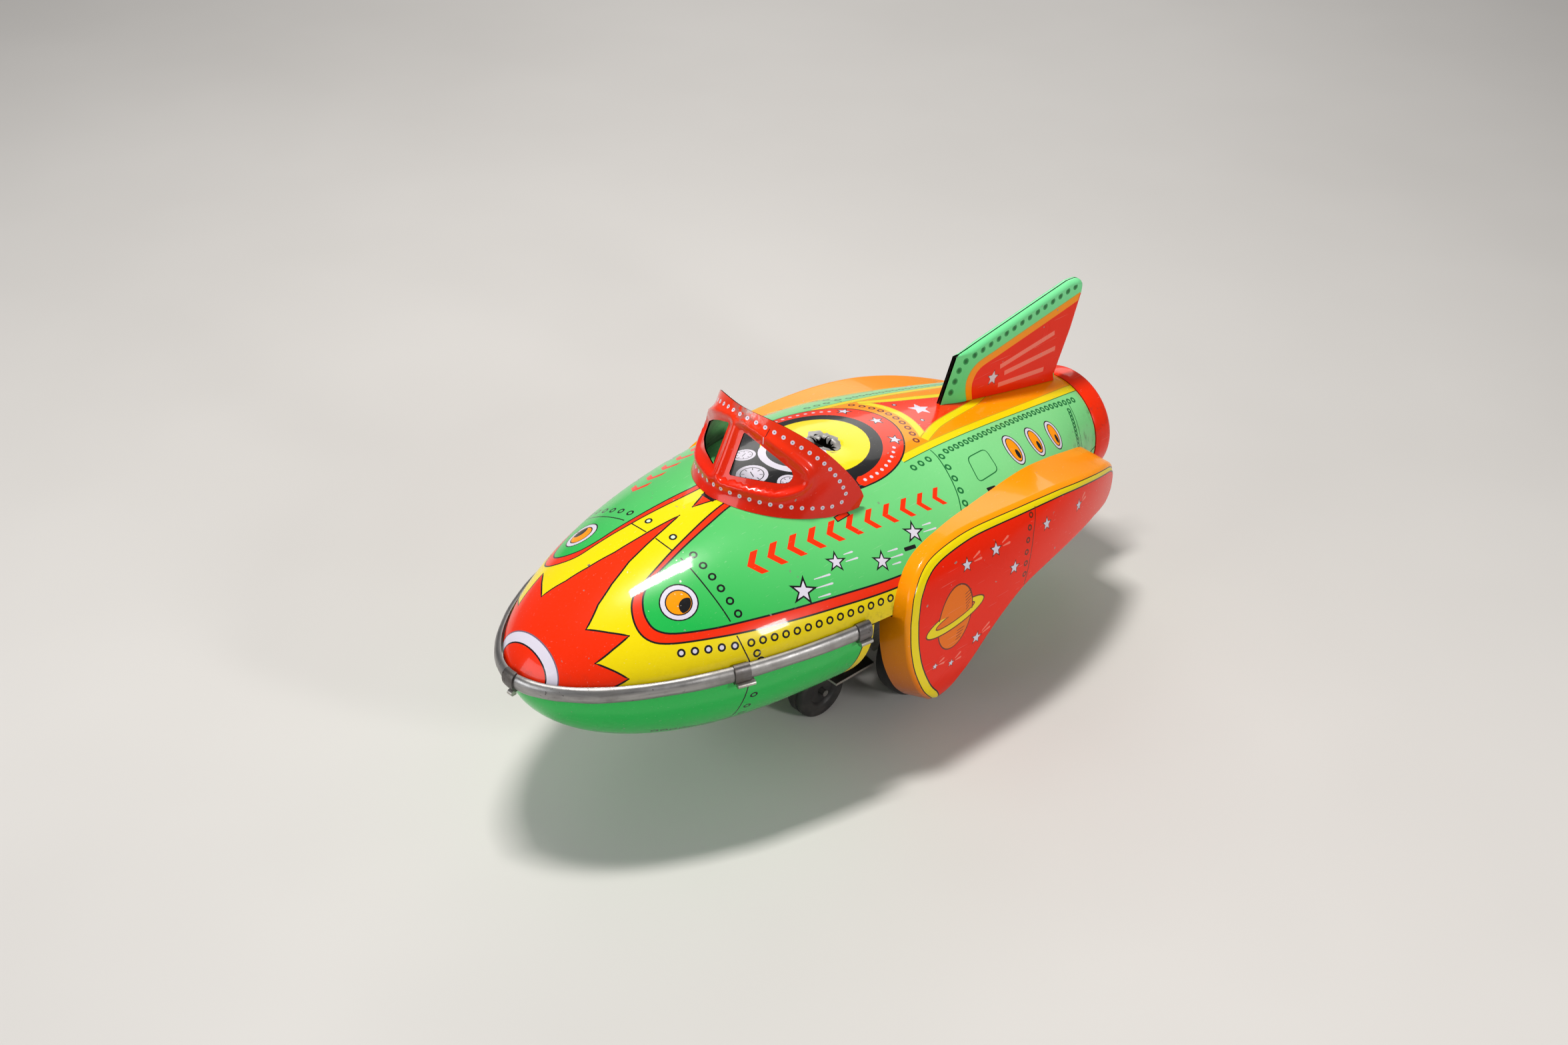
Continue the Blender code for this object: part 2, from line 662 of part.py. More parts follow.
def build_drive():
    axle_at = (AXLE_Y, WHEEL_RADIUS)
    counter_at = polar(axle_at, MODULE * (DRIVE_TEETH + PINION_TEETH) / 2, COUNTER_ANGLE)
    fly_at = polar(counter_at, MODULE * (WHEEL_GEAR_TEETH + FLY_PINION_TEETH) / 2, FLY_ANGLE)
    axle = empty("rear_axle_pivot", *axle_at)
    counter = empty("counter_pivot", *counter_at)
    fly = empty("flywheel_pivot", *fly_at)
    reach = WHEEL_X + WHEEL_WIDTH / 2 + AXLE_OVERHANG
    cylinder("rear_axle", AXLE_RADIUS, -reach, reach, SHAFT_SIDES, DARK_STEEL, STEEL, axle)
    bore = AXLE_RADIUS + RUNNING_CLEARANCE
    for side, x in (("left", WHEEL_X), ("right", -WHEEL_X)):
        wheel("drive_tyre_" + side, WHEEL_RADIUS, WHEEL_WIDTH, x, axle)
        hub("drive_hub_" + side, WHEEL_RADIUS, WHEEL_WIDTH, x, bore, BARE_TIN, axle)
    gear("drive_gear", DRIVE_TEETH, DRIVE_GEAR_X, GEAR_THICKNESS, 0.0, bore, BRASS, axle)
    pinion_turn = mesh_turn(COUNTER_ANGLE, DRIVE_TEETH, 0.0, PINION_TEETH)
    shaft_bore = SHAFT_RADIUS + RUNNING_CLEARANCE
    end = PLATE_X + PLATE_TIN / 2 + SHAFT_OVERHANG
    pinion = GEAR_THICKNESS + PINION_EXTRA
    cylinder("counter_shaft", SHAFT_RADIUS, -end, end, SHAFT_SIDES, DARK_STEEL, STEEL, counter)
    gear("counter_pinion", PINION_TEETH, DRIVE_GEAR_X, pinion, pinion_turn, shaft_bore, BRASS, counter)
    gear("counter_gear", WHEEL_GEAR_TEETH, COUNTER_GEAR_X, GEAR_THICKNESS, 0.0, shaft_bore, BRASS, counter)
    fly_turn = mesh_turn(FLY_ANGLE, WHEEL_GEAR_TEETH, 0.0, FLY_PINION_TEETH)
    cylinder("flywheel_shaft", SHAFT_RADIUS, -end, end, SHAFT_SIDES, DARK_STEEL, STEEL, fly)
    gear("flywheel_pinion", FLY_PINION_TEETH, COUNTER_GEAR_X, pinion, fly_turn, shaft_bore, BRASS, fly)
    build_flywheel(shaft_bore, fly)
    holes = [hole_at(axle_at, bore), hole_at(counter_at, shaft_bore), hole_at(fly_at, shaft_bore)]
    punched_plate("motor_plate_left", PLATE_OUTLINE, holes, PLATE_X, PLATE_TIN, BARE_TIN)
    punched_plate("motor_plate_right", PLATE_OUTLINE, holes, -PLATE_X, PLATE_TIN, BARE_TIN)
    span = PLATE_X - PLATE_TIN / 2 - GAP
    for name, (y, z) in PILLARS.items():
        place = empty(name + "_place", y, z)
        cylinder(name, PILLAR_RADIUS, -span, span, SHAFT_SIDES, DARK_STEEL, STEEL, place)


def bent_strip(name, path, y0, y1, thickness, colour):
    """A strip between two places along Y, bent along an (x, z) path."""
    points = [(x, y, z) for y in (y0, y1) for x, z in path]
    count = len(path)
    faces = [(i, i + 1, count + i + 1, count + i) for i in range(count - 1)]
    strip = make_mesh(name, points, faces, colour, STEEL)
    flip_if_inward(strip, (0, 0, 1))
    return thicken(strip, thickness)


def build_straps():
    top = PLATE_OUTLINE[3][1] + GAP + PLATE_TIN
    for name, (y0, y1) in STRAPS.items():
        reach = min(hull_x(y0, top), hull_x(y1, top)) - TIN - STRAP_CLEARANCE
        path = [(-reach, top - STRAP_TAB), (-reach, top), (reach, top), (reach, top - STRAP_TAB)]
        bent_strip(name, path, y0, y1, PLATE_TIN, BARE_TIN)


def build_front_wheels():
    pivot = empty("front_wheel_pivot", FRONT_Y, FRONT_RADIUS)
    reach = FRONT_X + FRONT_WIDTH / 2 + SHAFT_OVERHANG
    cylinder("front_axle", FRONT_SHAFT_RADIUS, -reach, reach, SHAFT_SIDES, DARK_STEEL, STEEL, pivot)
    bore = FRONT_SHAFT_RADIUS + RUNNING_CLEARANCE
    half = FRONT_WIDTH / 2
    dish = half - FRONT_HUB_DISH
    one_side = [(bore, dish), (FRONT_HUB_RADIUS, dish), (FRONT_HUB_RADIUS + 0.4, half),
                (FRONT_RADIUS - 0.9, half), (FRONT_RADIUS, half - 1.0)]
    for side, x in (("left", FRONT_X), ("right", -FRONT_X)):
        profile = [(r, x - out) for r, out in one_side] + [(r, x + out) for r, out in reversed(one_side)]
        turned("front_wheel_" + side, profile, ROUND, BLACK, RUBBER, pivot)


def build_front_bracket():
    """A wide tin plate behind the nose bowl, with two bent-down ears for the front axle."""
    count = len(BRACKET_OUTLINE)
    points = [(x, y, z) for z in (BRACKET_Z, BRACKET_Z + BRACKET_TIN) for x, y in BRACKET_OUTLINE]
    faces = [tuple(range(count))[::-1], tuple(range(count, 2 * count))]
    faces += [(i, (i + 1) % count, count + (i + 1) % count, count + i) for i in range(count)]
    make_mesh("front_bracket", points, faces, BARE_TIN, STEEL)
    hole = hole_at((FRONT_Y, FRONT_RADIUS), FRONT_SHAFT_RADIUS + RUNNING_CLEARANCE)
    outline = [(FRONT_Y + y, z) for y, z in EAR_OUTLINE]
    punched_plate("front_bracket_ear_left", outline, [hole], EAR_X, BRACKET_TIN, BARE_TIN)
    punched_plate("front_bracket_ear_right", outline, [hole], -EAR_X, BRACKET_TIN, BARE_TIN)


def main():
    clear_scene()
    build_upper_hull()
    hull_shell("lower_hull", NOSE_Y + NOSE_GAP, BOWL_END_Y, LOWER_GRID, -1, GREEN)
    hull_shell("rear_belly", BELLY_START_Y, TAIL_Y, BELLY_GRID, -1, GREEN)
    build_trim()
    build_windshield()
    build_fin()
    build_pods()
    build_tail_ring()
    build_drive()
    build_straps()
    build_front_wheels()
    build_front_bracket()
    bpy.context.view_layer.update()


main()
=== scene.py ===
"""Looks of the tin space rocket: lithographed shells, windshield, pods, fin, trim and wheels.

Lengths are in millimetres until a mesh is made; Blender's own units are metres. The nose
points towards -Y and +Z is up. Each printed shell is one thin closed sheet: its decoration
is laid out flat, cut into inked faces, and then wrapped on to the pressed shape.
"""

import math
import random

import bpy
import numpy as np
from mathutils import Matrix, Vector
from mathutils.geometry import delaunay_2d_cdt


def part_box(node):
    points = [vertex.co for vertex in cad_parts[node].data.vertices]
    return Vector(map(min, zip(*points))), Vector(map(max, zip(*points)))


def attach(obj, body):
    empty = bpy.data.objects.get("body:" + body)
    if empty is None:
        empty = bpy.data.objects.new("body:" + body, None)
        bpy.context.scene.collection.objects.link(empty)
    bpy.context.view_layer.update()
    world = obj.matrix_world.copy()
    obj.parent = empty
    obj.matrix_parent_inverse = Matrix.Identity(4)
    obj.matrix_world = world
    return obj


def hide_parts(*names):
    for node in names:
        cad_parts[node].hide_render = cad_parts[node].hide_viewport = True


MM = 0.001

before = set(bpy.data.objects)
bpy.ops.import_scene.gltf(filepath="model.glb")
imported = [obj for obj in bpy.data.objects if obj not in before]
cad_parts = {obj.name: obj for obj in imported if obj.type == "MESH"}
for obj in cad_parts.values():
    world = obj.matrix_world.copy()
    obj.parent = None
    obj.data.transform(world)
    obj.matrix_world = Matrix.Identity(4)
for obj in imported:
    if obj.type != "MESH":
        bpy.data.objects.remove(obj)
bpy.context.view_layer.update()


def box_mm(node):
    low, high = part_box(node)
    return np.array(low) / MM, np.array(high) / MM


# Hull form, with its ends and seam read from the frame.
HULL_LOW, HULL_HIGH = box_mm("upper_hull")
TRIM_LOW, TRIM_HIGH = box_mm("seam_trim")
SEAM_Z = (TRIM_LOW[2] + TRIM_HIGH[2]) / 2
NOSE_Y = HULL_LOW[1] - 0.1
TAIL_Y = HULL_HIGH[1]
HALF_WIDTH = HULL_HIGH[0]
TAIL_RADIUS = 14.2
SEAM_DROP = 6.0
WIDEST_Y = 5.0
HIGHEST_Y = -10.0
UPPER_HEIGHT = 23.0
DEEPEST_Y = -35.0
LOWER_DEPTH = 28.0
BELLY_START_Y = 27.0
BELLY_DEPTH = 20.0
BOWL_END_Y = -18.0
CROWN_FLATTENING = 0.096
SEAM_GAP = 0.15
GIRTH = 28.0
TIN = 0.5

# The torn hole where the pilot stood, and the dent round it.
HOLE_CENTRE = (0.6, -0.4)
HOLE_RADIUS = 3.4
HOLE_STRETCH = np.array([1.12, 0.8])
DENT_DEPTH = 0.75
DENT_FADE = 1.5

# Printed lines and the size of a sheet's faces.
LINE = 0.40
FINE = 0.3
PRINT_STEP = 2.2

# Inks, as linear colours.
BLACK_INK = (0.010, 0.010, 0.011)
RED_INK = (0.84, 0.017, 0.0)
ORANGE_INK = (1.0, 0.315, 0.0)
YELLOW_INK = (0.88, 0.70, 0.001)
# GREEN_PALE is the painted lit tone of the green ink and GREEN_DEEP its shaded tone.
GREEN_DEEP = (0.014, 0.47, 0.075)
GREEN_PALE = (0.27, 0.74, 0.30)
LILAC_INK = (0.70, 0.66, 0.77)


# ---------------------------------------------------------------- lines and outlines

def unit(vectors, least=1e-9):
    """Vectors made one long."""
    return vectors / np.maximum(np.linalg.norm(vectors, axis=-1, keepdims=True), least)


def distances(points):
    """How far along a line each of its points is."""
    return np.concatenate([[0.0], np.cumsum(np.linalg.norm(np.diff(points, axis=0), axis=1))])


def spaced(path, count, gone=None):
    """Evenly spaced points along a line, by its own length or by distances given."""
    gone = distances(path) if gone is None else gone
    at = np.linspace(0, gone[-1], count)
    return np.stack([np.interp(at, gone, path[:, 0]), np.interp(at, gone, path[:, 1])], 1)


def ellipse(wide, tall, sides):
    steps = [2 * math.pi * i / sides for i in range(sides)]
    return [(wide * math.cos(a), tall * math.sin(a)) for a in steps]


def circle(radius, sides=14):
    return ellipse(radius, radius, sides)


def oblong(wide, tall):
    return [(-wide, -tall), (wide, -tall), (wide, tall), (-wide, tall)]


def star(radius, waist=0.42):
    points = []
    for i in range(10):
        reach = radius if i % 2 == 0 else radius * waist
        angle = math.pi / 2 + math.pi * i / 5
        points.append((reach * math.cos(angle), reach * math.sin(angle)))
    return points


def curve(points, closed=False, step=1.2):
    """A smooth line through its points, as evenly spaced ones."""
    points = np.array(points, float)
    count = len(points)
    made = []
    for i in range(count if closed else count - 1):
        picks = [(i + k) % count if closed else min(max(i + k, 0), count - 1) for k in (-1, 0, 1, 2)]
        a, b, c, d = points[picks]
        pieces = max(int(math.ceil(np.linalg.norm(c - b) / step)), 1)
        for j in range(pieces):
            t = j / pieces
            made.append(0.5 * (2 * b + (c - a) * t + (2 * a - 5 * b + 4 * c - d) * t * t
                               + (3 * b - a - 3 * c + d) * t ** 3))
    if not closed:
        made.append(points[-1])
    return np.array(made)


def straight(points, step=1.2):
    """A line with sharp corners, cut into short pieces so that it follows a curved form."""
    points = np.array(points, float)
    made = []
    for a, b in zip(points[:-1], points[1:]):
        pieces = max(int(math.ceil(np.linalg.norm(b - a) / step)), 1)
        made += [a + (b - a) * j / pieces for j in range(pieces)]
    made.append(points[-1])
    return np.array(made)


def rounded(points, radius, steps=4):
    """A closed outline with its corners turned into arcs."""
    points = [np.array(p, float) for p in points]
    made = []
    for i, corner in enumerate(points):
        before = points[i - 1] - corner
        after = points[(i + 1) % len(points)] - corner
        reach = min(radius, 0.45 * np.linalg.norm(before), 0.45 * np.linalg.norm(after))
        start = corner + unit(before) * reach
        end = corner + unit(after) * reach
        for j in range(steps + 1):
            t = j / steps
            made.append((1 - t) ** 2 * start + 2 * t * (1 - t) * corner + t * t * end)
    return np.array(made)


def doubled_area(outline):
    """Twice the area of a closed outline: positive when it runs anticlockwise."""
    before = np.roll(outline, 1, axis=0)
    return (before[:, 0] * outline[:, 1] - outline[:, 0] * before[:, 1]).sum()


def outline_normals(outline):
    """Outward directions of a closed outline in its own plane."""
    run = np.roll(outline, -1, axis=0) - np.roll(outline, 1, axis=0)
    return unit(np.stack([run[:, 1], -run[:, 0]], 1)) * np.sign(doubled_area(outline))


def wound(points, outline):
    """Which points an outline goes round."""
    turns = np.zeros(len(points), int)
    x, y = points[:, 0], points[:, 1]
    for a, b in zip(outline, np.roll(outline, -1, axis=0)):
        if a[1] == b[1]:
            continue
        left = (b[0] - a[0]) * (y - a[1]) - (x - a[0]) * (b[1] - a[1]) > 0
        turns += (a[1] <= y) & (b[1] > y) & left
        turns -= (a[1] > y) & (b[1] <= y) & ~left
    return turns != 0


# ---------------------------------------------------------------- hull form

def smooth_step(value):
    value = np.clip(value, 0.0, 1.0)
    return value * value * (3.0 - 2.0 * value)


def nose_form(y, peak, power):
    """A share that rises from 0 at the nose to 1 at its peak."""
    return np.clip(1 - ((peak - y) / (peak - NOSE_Y)) ** 2, 0, 1) ** power


def half_width(y):
    part = np.clip((y - WIDEST_Y) / (TAIL_Y - WIDEST_Y), 0, 1)
    tail = TAIL_RADIUS + (HALF_WIDTH - TAIL_RADIUS) * (1 - part ** 2) ** 1.2
    return np.where(y < WIDEST_Y, HALF_WIDTH * nose_form(y, WIDEST_Y, 0.54), tail)


def upper_height(y):
    part = np.clip((y - HIGHEST_Y) / (TAIL_Y - HIGHEST_Y), 0, 1)
    tail = TAIL_RADIUS + (UPPER_HEIGHT - TAIL_RADIUS) * (1 - part ** 1.25) ** 0.8
    return np.where(y < HIGHEST_Y, UPPER_HEIGHT * nose_form(y, HIGHEST_Y, 0.62), tail)


def lower_depth(y):
    fade = 1 - smooth_step((y - BELLY_START_Y) / (TAIL_Y - BELLY_START_Y))
    tail = TAIL_RADIUS + (BELLY_DEPTH - TAIL_RADIUS) * fade
    rear = np.where(y < BELLY_START_Y, LOWER_DEPTH, tail)
    return np.where(y < DEEPEST_Y, LOWER_DEPTH * nose_form(y, DEEPEST_Y, 0.52), rear)


def seam_height(y):
    return SEAM_Z - SEAM_DROP * smooth_step(y / TAIL_Y)


def flattening(y):
    return CROWN_FLATTENING * (1 - smooth_step(y / TAIL_Y))


class Surface:
    """A pressed form: place() takes flat (along, across) points to 3-D points."""
    outward = 1.0

    def tangents(self, flat):
        step = 0.02
        along = (self.place(flat + [step, 0]) - self.place(flat - [step, 0])) / (2 * step)
        across = (self.place(flat + [0, step]) - self.place(flat - [0, step])) / (2 * step)
        return along, across

    def normals(self, flat):
        return unit(np.cross(*self.tangents(flat)) * self.outward)

    def stamp(self, centre, shape, turn=0.0):
        """Flat points of a small shape drawn true to size at a place; its x axis runs along."""
        centre = np.array([centre], float)
        c, s = math.cos(turn), math.sin(turn)
        shape = np.array(shape, float) @ np.array([[c, s], [-s, c]])
        along, across = (t[0] for t in self.tangents(centre))
        first = unit(along)
        second = unit(across - first * first.dot(across))
        jacobian = np.array([[along.dot(first), across.dot(first)], [0.0, across.dot(second)]])
        return centre + shape @ np.linalg.inv(jacobian).T


class HullSurface(Surface):
    """Skin of a hull shell above (sign 1) or below (sign -1) the seam."""

    def __init__(self, sign, start, end):
        self.sign = sign
        self.outward = float(sign)
        self.reach = upper_height if sign > 0 else lower_depth
        self.ys = NOSE_Y + np.linspace(math.sqrt(start - NOSE_Y), math.sqrt(end - NOSE_Y), 900) ** 2
        radius = (half_width(self.ys) + self.reach(self.ys)) / 2
        self.runs = distances(np.stack([self.ys, radius], 1))
        self.length = self.runs[-1]
        self.girth = math.pi * GIRTH

    def shrink(self, y, angle):
        if self.sign < 0:
            return np.ones_like(y)
        return 1 - flattening(y) * (np.sin(angle) * np.cos(angle)) ** 2

    def place(self, flat):
        y = np.interp(flat[:, 0], self.runs, self.ys)
        angle = flat[:, 1] / GIRTH
        shrink = self.shrink(y, angle)
        x = half_width(y) * np.cos(angle) * shrink
        z = seam_height(y) + self.sign * (self.reach(y) * np.sin(angle) * shrink + SEAM_GAP)
        return np.stack([x, y, z - self.dent(x, y)], 1)

    def dent(self, x, y):
        """How far the skin is pressed in round the torn hole."""
        if self.sign < 0:
            return 0.0
        x = x - HOLE_CENTRE[0]
        y = y - HOLE_CENTRE[1]
        away = np.hypot(x, y * 1.25) - HOLE_RADIUS
        wave = 0.6 + 0.4 * np.sin(3 * np.arctan2(y, x) + 0.7)
        return DENT_DEPTH * np.exp(-np.clip(away, 0, None) / DENT_FADE) * wave

    def flat(self, points, sign=1):
        """Flat points from (y, degrees up from the seam) on the left side, or the right (-1)."""
        points = np.array(points, float)
        degrees = points[:, 1] if sign > 0 else 180.0 - points[:, 1]
        return np.stack([np.interp(points[:, 0], self.ys, self.runs), np.radians(degrees) * GIRTH], 1)

    def spot(self, point, sign):
        return self.flat([point], sign)[0]

    def smooth(self, points, sign=1):
        return curve(self.flat(points, sign))

    def over(self, points):
        """Flat points from (x, y) seen from above."""
        points = np.array(points, float)
        x, y = points[:, 0], points[:, 1]
        angle = np.full(len(x), math.pi / 2)
        for _ in range(8):
            angle = np.arccos(np.clip(x / (half_width(y) * self.shrink(y, angle)), -1, 1))
        return np.stack([np.interp(y, self.ys, self.runs), angle * GIRTH], 1)


UPPER = HullSurface(1, NOSE_Y + 0.1, TAIL_Y)
BOWL = HullSurface(-1, NOSE_Y + 0.1, BOWL_END_Y)
BELLY = HullSurface(-1, BELLY_START_Y, TAIL_Y)


def skin_x(y, z):
    """Half width of the hull's skin at a place along and a height."""
    y = np.array(y, float)
    rise = np.array(z, float) - seam_height(y)
    up = rise > 0
    reach = np.where(up, upper_height(y), lower_depth(y))
    angle = np.arcsin(np.clip(np.abs(rise) / reach, 0, 1))
    shrink = np.ones_like(angle)
    for _ in range(8):
        shrink = np.where(up, 1 - flattening(y) * (np.sin(angle) * np.cos(angle)) ** 2, 1.0)
        angle = np.arcsin(np.clip(np.abs(rise) / (reach * shrink), 0, 1))
    inside = np.abs(rise) < reach * shrink
    return np.where(inside, half_width(y) * np.cos(angle) * shrink, 0.0)


def skin_z(x, y):
    """Height of the upper skin over places seen from above."""
    return UPPER.place(UPPER.over(np.stack([np.abs(x), y], 1)))[:, 2]


# ---------------------------------------------------------------- prints and meshes

class Print:
    """Inks laid over each other on a flat sheet, the last one on top."""

    def __init__(self, surface, border, ink):
        self.surface = surface
        self.shapes = [(np.array(border, float), ink)]

    def fill(self, points, ink):
        self.shapes.append((np.array(points, float), ink))

    def stamp(self, centre, shape, ink, turn=0.0):
        self.fill(self.surface.stamp(centre, shape, turn), ink)

    def line(self, points, ink, width=LINE, closed=False):
        """A drawn line of constant width on the pressed form."""
        points = np.array(points, float)
        if closed:
            points = np.vstack([points, points[:1]])
        keep = np.concatenate([[True], np.linalg.norm(np.diff(points, axis=0), axis=1) > 1e-6])
        points = points[keep]
        along, across = self.surface.tangents(points)
        runs = unit(np.diff(points, axis=0))
        ways = np.vstack([runs[:1], (runs[:-1] + runs[1:]) / 2, runs[-1:]])
        if closed:
            ways[0] = ways[-1] = (runs[0] + runs[-1]) / 2
        ways = unit(ways, 0.3)
        e, f, g = (along * along).sum(1), (along * across).sum(1), (across * across).sum(1)
        side = np.stack([-f * ways[:, 0] - g * ways[:, 1], e * ways[:, 0] + f * ways[:, 1]], 1)
        size = e * side[:, 0] ** 2 + 2 * f * side[:, 0] * side[:, 1] + g * side[:, 1] ** 2
        side *= (width / 2 / np.sqrt(np.maximum(size, 1e-9)))[:, None]
        left, right = points + side, points - side
        for i in range(len(points) - 1):
            self.fill([left[i], left[i + 1], right[i + 1], right[i]], ink)
        for i in np.nonzero((runs[:-1] * runs[1:]).sum(1) < 0.8)[0]:
            self.stamp(points[i + 1], circle(width / 2, 8), ink)

    def edged(self, points, ink, width=LINE, edge="black"):
        self.fill(points, ink)
        self.line(points, edge, width, closed=True)

    def rivet(self, centre, radius=0.92, ink="green", ring=0.43, edge="black"):
        self.stamp(centre, circle(radius, 12), edge)
        self.stamp(centre, circle(radius - ring, 10), ink)

    def rivets(self, path, count, **look):
        """Ring-shaped rivets evenly spaced along a line on the pressed form."""
        for place in spaced(path, count, distances(self.surface.place(path))):
            self.rivet(place, **look)

    def seams(self, rows, sign):
        """Drawn lines (no count) and rows of rivets along smooth lines of a hull shell."""
        for points, count, look in rows:
            path = self.surface.smooth(points, sign)
            if count:
                self.rivets(path, count, **look)
            else:
                self.line(path, **look)

    def mesh(self, step):
        """Flat points, triangles and the ink of each triangle, inside the border."""
        border = self.shapes[0][0]
        low, high = border.min(0), border.max(0)
        points = []
        edges = []
        for shape, _ in self.shapes:
            first = len(points)
            edges += [(first + i, first + (i + 1) % len(shape)) for i in range(len(shape))]
            points += [tuple(p) for p in shape]
        rows, columns = ((high - low) / step).astype(int)
        for i in range(1, rows):
            for j in range(1, columns):
                share = min((j + 0.5 * (i % 2)) / columns, 0.995)
                points.append((low[0] + (high[0] - low[0]) * i / rows, low[1] + (high[1] - low[1]) * share))
        made = delaunay_2d_cdt([Vector(p) for p in points], edges, [], 0, 1e-5, False)
        flat = np.array([tuple(v) for v in made[0]])
        triangles = np.array([tuple(face) for face in made[2]])
        centres = flat[triangles].mean(axis=1)
        owner = np.full(len(triangles), -1)
        for i, (shape, _) in enumerate(self.shapes):
            low, high = shape.min(0), shape.max(0)
            near = np.nonzero((centres > low).all(1) & (centres < high).all(1))[0]
            owner[near[wound(centres[near], shape)]] = i
        owner[~wound(centres, border)] = -1
        inks = [self.shapes[i][1] if i >= 0 else "cut" for i in owner]
        keep = [i for i, ink in enumerate(inks) if ink != "cut"]
        return flat, [triangles[i].tolist() for i in keep], [inks[i] for i in keep]


MATERIALS = {}


def new_mesh(name, points, faces, inks, loop_normals=None, smooth=True):
    mesh = bpy.data.meshes.new(name)
    mesh.from_pydata([tuple(p) for p in np.array(points) * MM], [], faces)
    slots = {ink: i for i, ink in enumerate(sorted(set(inks)))}
    for ink in slots:
        mesh.materials.append(MATERIALS[ink])
    mesh.polygons.foreach_set("material_index", [slots[ink] for ink in inks])
    mesh.polygons.foreach_set("use_smooth", [smooth] * len(faces))
    if loop_normals is not None:
        mesh.normals_split_custom_set([tuple(n) for n in loop_normals])
    made = bpy.data.objects.new(name, mesh)
    bpy.context.scene.collection.objects.link(made)
    return made


def finish_piece(made, body, nodes, slot):
    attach(made, body)
    if nodes:
        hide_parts(*nodes)


def thin_sheet(name, points, normals, faces, inks, tin=TIN, inside="inside", rim="rim"):
    """A closed thin sheet from its outer face: the inner face and the cut rims are added."""
    used = sorted(set(v for face in faces for v in face))
    renumber = {v: i for i, v in enumerate(used)}
    points = np.array(points)[used]
    normals = np.array(normals)[used]
    count = len(used)
    faces = [[renumber[v] for v in face] for face in faces]
    backs = [[v + count for v in reversed(face)] for face in faces]
    loops = [normals[v] for face in faces for v in face]
    loops += [-normals[v - count] for back in backs for v in back]
    edges = {}
    for face in faces:
        for a, b in zip(face, face[1:] + face[:1]):
            edges[(a, b)] = True
    rims = [[b, a, a + count, b + count] for a, b in edges if (b, a) not in edges]
    for b, a, _, _ in rims:
        loops += [unit(np.cross(points[a] - points[b], normals[a]))] * 4
    all_inks = inks + [inside] * len(backs) + [rim] * len(rims)
    everything = np.vstack([points, points - normals * tin])
    return new_mesh(name, everything, faces + backs + rims, all_inks, loops)


def wrap(name, art, step=PRINT_STEP, tin=TIN, inside="inside", rim="rim"):
    """Cut a print to its border and wrap it on to its pressed form."""
    flat, triangles, inks = art.mesh(step)
    if art.surface.outward < 0:
        triangles = [t[::-1] for t in triangles]
    points, normals = art.surface.place(flat), art.surface.normals(flat)
    return thin_sheet(name, points, normals, triangles, inks, tin, inside, rim)


def lofted(name, rows, inks, closed, sharp):
    """One skin through rows of points: joined on itself, or with its two ends capped."""
    rows = np.array(rows)
    count, around = rows.shape[:2]
    points = rows.reshape(-1, 3)
    faces = []
    for i in range(count if closed else count - 1):
        step = (i + 1) % count * around
        for j in range(around):
            k = (j + 1) % around
            faces.append([i * around + j, i * around + k, step + k, step + j])
    if not closed:
        faces.append(list(range(around))[::-1])
        faces.append([(count - 1) * around + j for j in range(around)])
    made = new_mesh(name, points, faces, [inks[j % around] for j in range(len(faces))])
    volume = 0.0
    for first, *rest in faces:
        for a, b in zip(rest, rest[1:]):
            volume += np.dot(points[first], np.cross(points[a], points[b]))
    if volume < 0:
        made.data.flip_normals()
    made.data.set_sharp_from_angle(angle=math.radians(sharp))
    return made


# ---------------------------------------------------------------- materials

